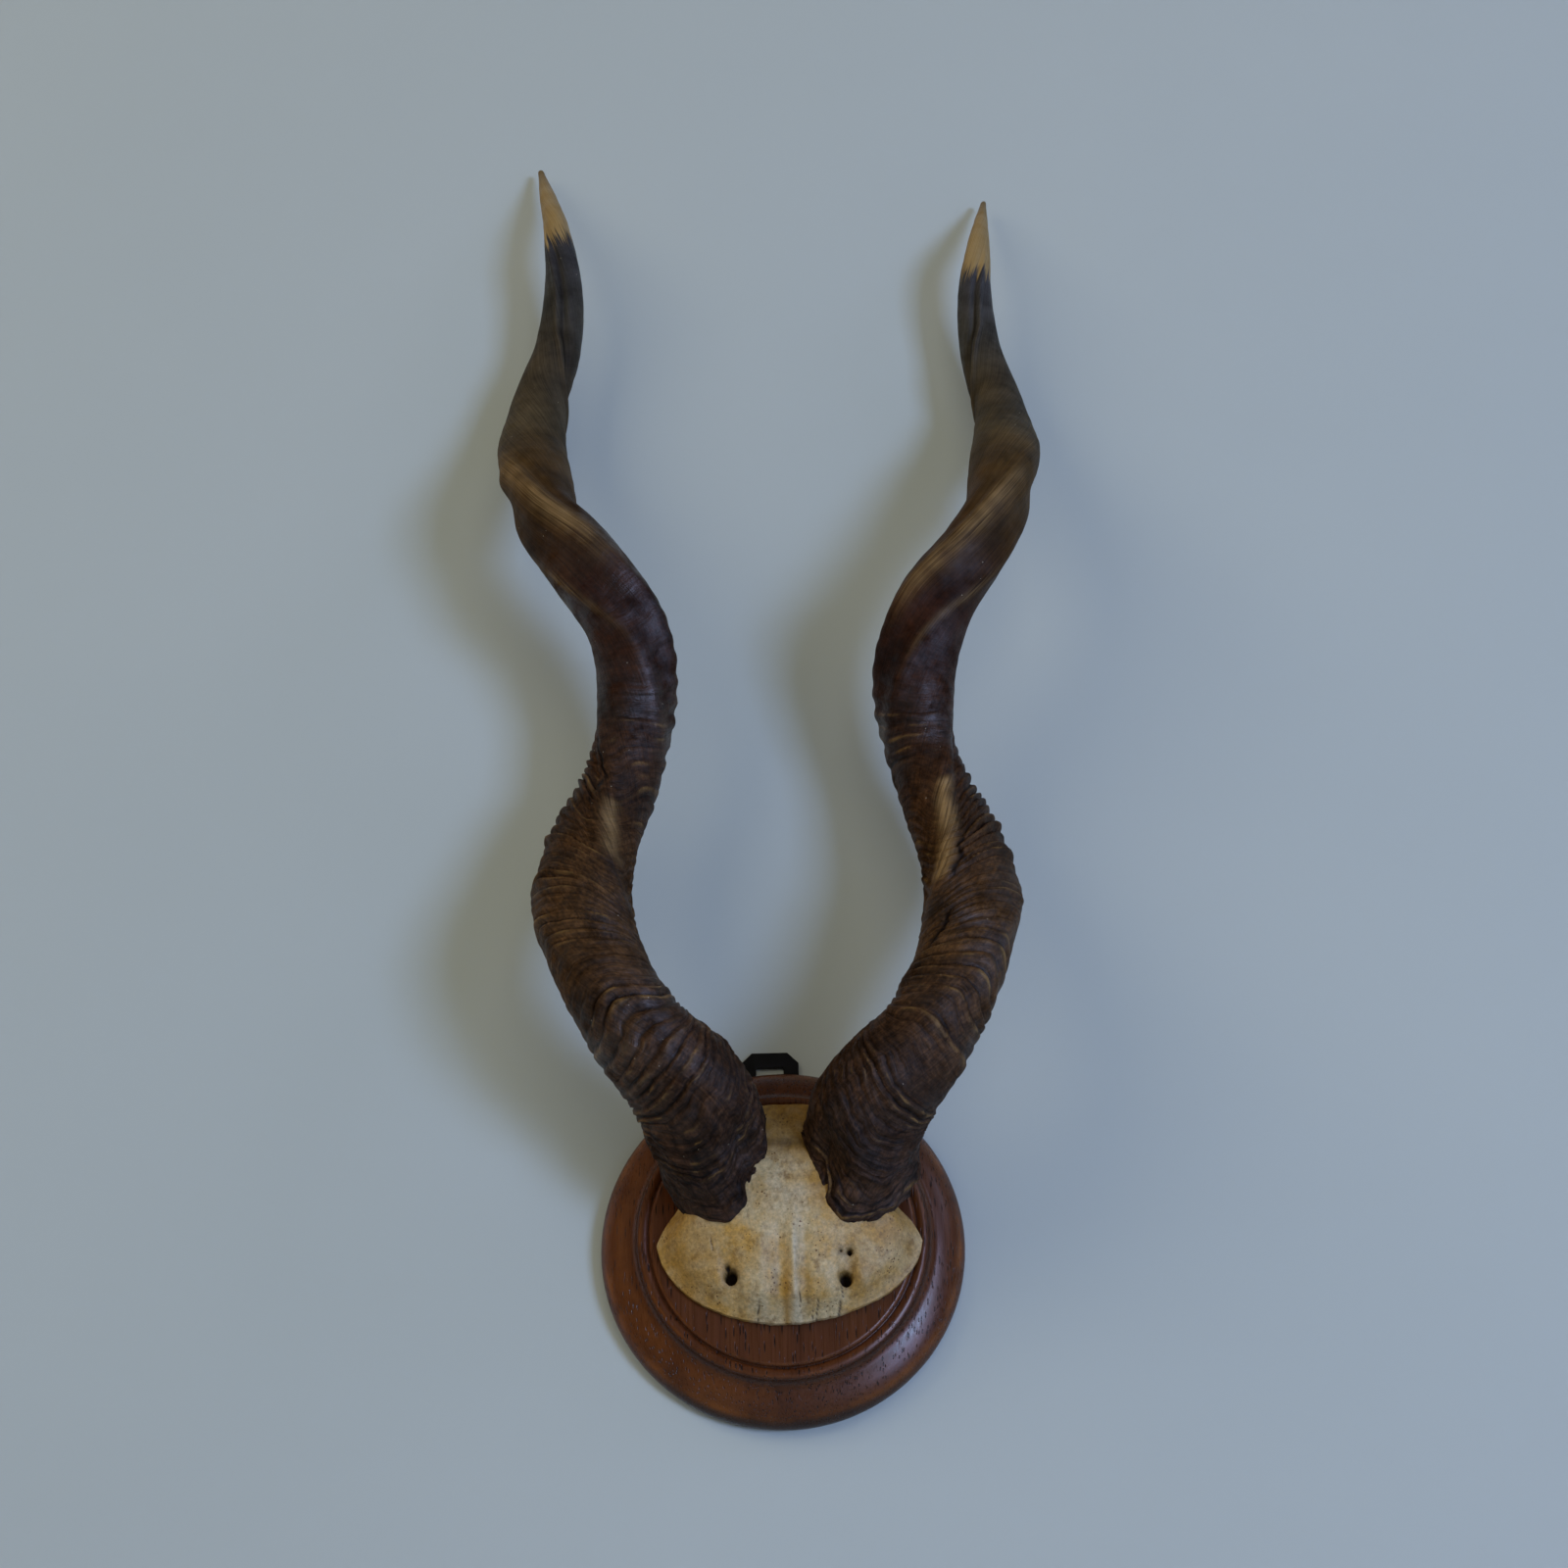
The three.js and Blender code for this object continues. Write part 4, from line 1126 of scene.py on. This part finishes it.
def screw_profile(head, sink, shank, length, margin):
    """Section of a countersunk screw whose head is at the back, or of the hole for it."""
    back = -5 * MM if margin else 0
    edge = 0.5 * MM
    return [
        (0, back), (head + margin, back), (head + margin, edge), (shank + margin, sink + margin),
        (shank + margin, length - 2 * shank), (0.4 * MM, length + margin), (0, length + margin),
    ]


# Head radius, depth of the countersink, shank radius and length.
CAP_SCREW_SIZE = (4.8 * MM, 3 * MM, 2.4 * MM, 54 * MM)
PLATE_SCREW_SIZE = (3.6 * MM, 2.2 * MM, 1.7 * MM, 17 * MM)
CAP_SCREW_BACK = 0.6 * MM
SCREW_STEPS = 40


def screw_hole(name, size, place, back):
    bm = spun(screw_profile(*size, GAP), SCREW_STEPS)
    bmesh.ops.translate(bm, verts=bm.verts, vec=(place[0], -back, place[1]))
    return to_object(name, bm)


def all_holes():
    holes = [screw_hole("hole_" + n, CAP_SCREW_SIZE, p, CAP_SCREW_BACK) for n, p in CAP_SCREWS.items()]
    return holes + [screw_hole("hole_" + n, PLATE_SCREW_SIZE, p, GAP) for n, p in PLATE_SCREWS.items()]


def shield():
    disc = to_object("disc", spun(shield_section(), SPIN_STEPS))
    recess = to_object("recess", plate_blank(GAP, PLATE_TOP + 5 * MM, -5 * MM, PLATE_THICKNESS + 2 * GAP))
    mesh = cut(disc, [recess, *all_holes()])
    mesh.name = "shield_turned"
    points = points_of(mesh)
    radius, height = np.hypot(points[:, 0], points[:, 2]), -points[:, 1]
    left_side = smoothstep(20 * MM, -70 * MM, points[:, 0])
    rub = 0.9 * bump_at(height, RIM_HEIGHT, 2.2 * MM) * (radius > SHIELD_RADIUS - 8 * MM)
    rub = rub + 0.4 * left_side * bump_at(radius, 105 * MM, 9 * MM)
    rub = rub + 0.4 * bump_at(radius, BEAD_RADIUS + 1.4 * MM, 0.8 * MM) * (height > BEAD_FOOT)
    rub = rub + 0.5 * bump_at(radius, FACE_RADIUS - 0.4 * MM, 0.7 * MM) * (height > SHIELD_FACE - 1.6 * MM)
    # Darker in the groove just outside the face and at the foot of the bead.
    dark_grooves_and_painted_shade = 0.6 * bump_at(radius, FACE_RADIUS + 1.6 * MM, 0.5 * MM) * (height < SHIELD_FACE - 2 * MM)
    dark_grooves_and_painted_shade = dark_grooves_and_painted_shade + 0.5 * bump_at(radius, BEAD_RADIUS + BEAD_HALF + 0.8 * MM, 1.3 * MM)
    # Painted shade: darker on the top of the shield, between the horns, and on the underside of the rim.
    above = smoothstep(70 * MM, 104 * MM, points[:, 2])
    below = smoothstep(-60 * MM, -112 * MM, points[:, 2])
    dark_grooves_and_painted_shade = dark_grooves_and_painted_shade + 0.15 * above + 0.7 * below * smoothstep(112 * MM, 116 * MM, radius)
    store(mesh, "rub", np.clip(rub, 0, 1))
    store(mesh, "dark_grooves_and_painted_shade", np.clip(dark_grooves_and_painted_shade * (height > 5 * MM), 0, 1))
    return mesh


place_piece("shield_turned", shield(), oak_finish, "oak", "shield")

# %% [markdown]
# ## Steel: finish and fittings
# The hanging plate is mild steel, blackened and lacquered, with a fine orange-peel surface. The wood
# screws are plain dulled steel, countersunk, with a sawn slot. No screw shows from the front, but
# the back is finished as well.

# %% Steel materials
black_finish, tree, output = new_material("blackened and lacquered mild steel")
coords = add(tree, "TexCoord").outputs["Object"]
peel = add(tree, "TexNoise", {"Vector": coords, "Scale": 900, "Detail": 2})
patina = add(tree, "TexNoise", {"Vector": coords, "Scale": 90, "Detail": 4})
black = add(tree, "Mix", {"Factor": patina.outputs["Fac"], 6: linear("#0d0c0c"), 7: linear("#1b1a1a")},
            data_type="RGBA")
shine = add(tree, "MapRange", {"Value": patina.outputs["Fac"], "To Min": 0.32, "To Max": 0.5})
peel_bump = add(tree, "Bump", {"Strength": 0.25, "Distance": 0.1 * MM, "Height": peel.outputs["Fac"]})
steel_shader = add(tree, "BsdfPrincipled", {
    "Base Color": black.outputs[2], "Roughness": shine.outputs[0], "IOR": 1.5, "Specular IOR Level": 0.2,
    "Normal": peel_bump.outputs[0],
})
tree.links.new(steel_shader.outputs[0], output.inputs["Surface"])

screw_finish, tree, output = new_material("dulled steel wood screw")
coords = add(tree, "TexCoord").outputs["Object"]
tarnish = add(tree, "TexNoise", {"Vector": coords, "Scale": 600, "Detail": 4})
steel = add(tree, "Mix", {"Factor": tarnish.outputs["Fac"], 6: linear("#6e675c"), 7: linear("#a39a8b")},
            data_type="RGBA")
dull = add(tree, "MapRange", {"Value": tarnish.outputs["Fac"], "To Min": 0.3, "To Max": 0.6})
screw_shader = add(tree, "BsdfPrincipled", {
    "Base Color": steel.outputs[2], "Metallic": 1.0, "Roughness": dull.outputs[0],
})
tree.links.new(screw_shader.outputs[0], output.inputs["Surface"])

# %% Hanging plate
SLOT_HALF = 9.25 * MM
SLOT_TOP = 125 * MM
SLOT_BOTTOM = 98 * MM
PLATE_BEVEL = 0.35 * MM
SHARP_ANGLE = 0.6  # edges that turn by more than this, in radians, are bevelled


def hanger_plate():
    blank = plate_blank(0, PLATE_TOP, GAP, GAP + PLATE_THICKNESS)
    plate = to_object("plate", blank)
    bm = bmesh.new()
    middle = Matrix.Translation((PLATE_MIDDLE, 0, (SLOT_TOP + SLOT_BOTTOM) / 2))
    size = Matrix.Diagonal((2 * SLOT_HALF, 20 * MM, SLOT_TOP - SLOT_BOTTOM, 1))
    bmesh.ops.create_cube(bm, size=1, matrix=middle @ size)
    holes = [screw_hole("hole_" + n, PLATE_SCREW_SIZE, p, GAP) for n, p in PLATE_SCREWS.items()]
    mesh = cut(plate, [to_object("slot", bm), *holes])
    bm = bmesh.new()
    bm.from_mesh(mesh)
    sharp = [e for e in bm.edges if len(e.link_faces) == 2 and e.calc_face_angle() > SHARP_ANGLE]
    bmesh.ops.bevel(bm, geom=sharp, offset=PLATE_BEVEL, offset_type="OFFSET", affect="EDGES", segments=2,
                    profile=0.5, material=-1, clamp_overlap=True)
    bm.to_mesh(mesh)
    bm.free()
    return mesh


place_piece("hanger_plate_black", hanger_plate(), black_finish, "black_steel", "hanger_plate")

# %% Screws
def screw(name, size, place, back):
    body = to_object(name + "_body", spun(screw_profile(*size, 0), SCREW_STEPS))
    bm = bmesh.new()
    slot = Matrix.Diagonal((4 * size[0], 2.2 * MM, 0.27 * size[0], 1))
    bmesh.ops.create_cube(bm, size=1, matrix=slot)
    mesh = cut(body, [to_object(name + "_slot", bm)])
    mesh.name = name
    mesh.transform(Matrix.Translation((place[0], -back, place[1])))
    return mesh


for where, place in CAP_SCREWS.items():
    mesh = screw("cap_screw_steel_" + where, CAP_SCREW_SIZE, place, CAP_SCREW_BACK)
    place_piece(mesh.name, mesh, screw_finish, "screw_steel", "cap_screw_" + where)
for where, place in PLATE_SCREWS.items():
    mesh = screw("hanger_screw_steel_" + where, PLATE_SCREW_SIZE, place, GAP)
    place_piece(mesh.name, mesh, screw_finish, "screw_steel", "hanger_screw_" + where)
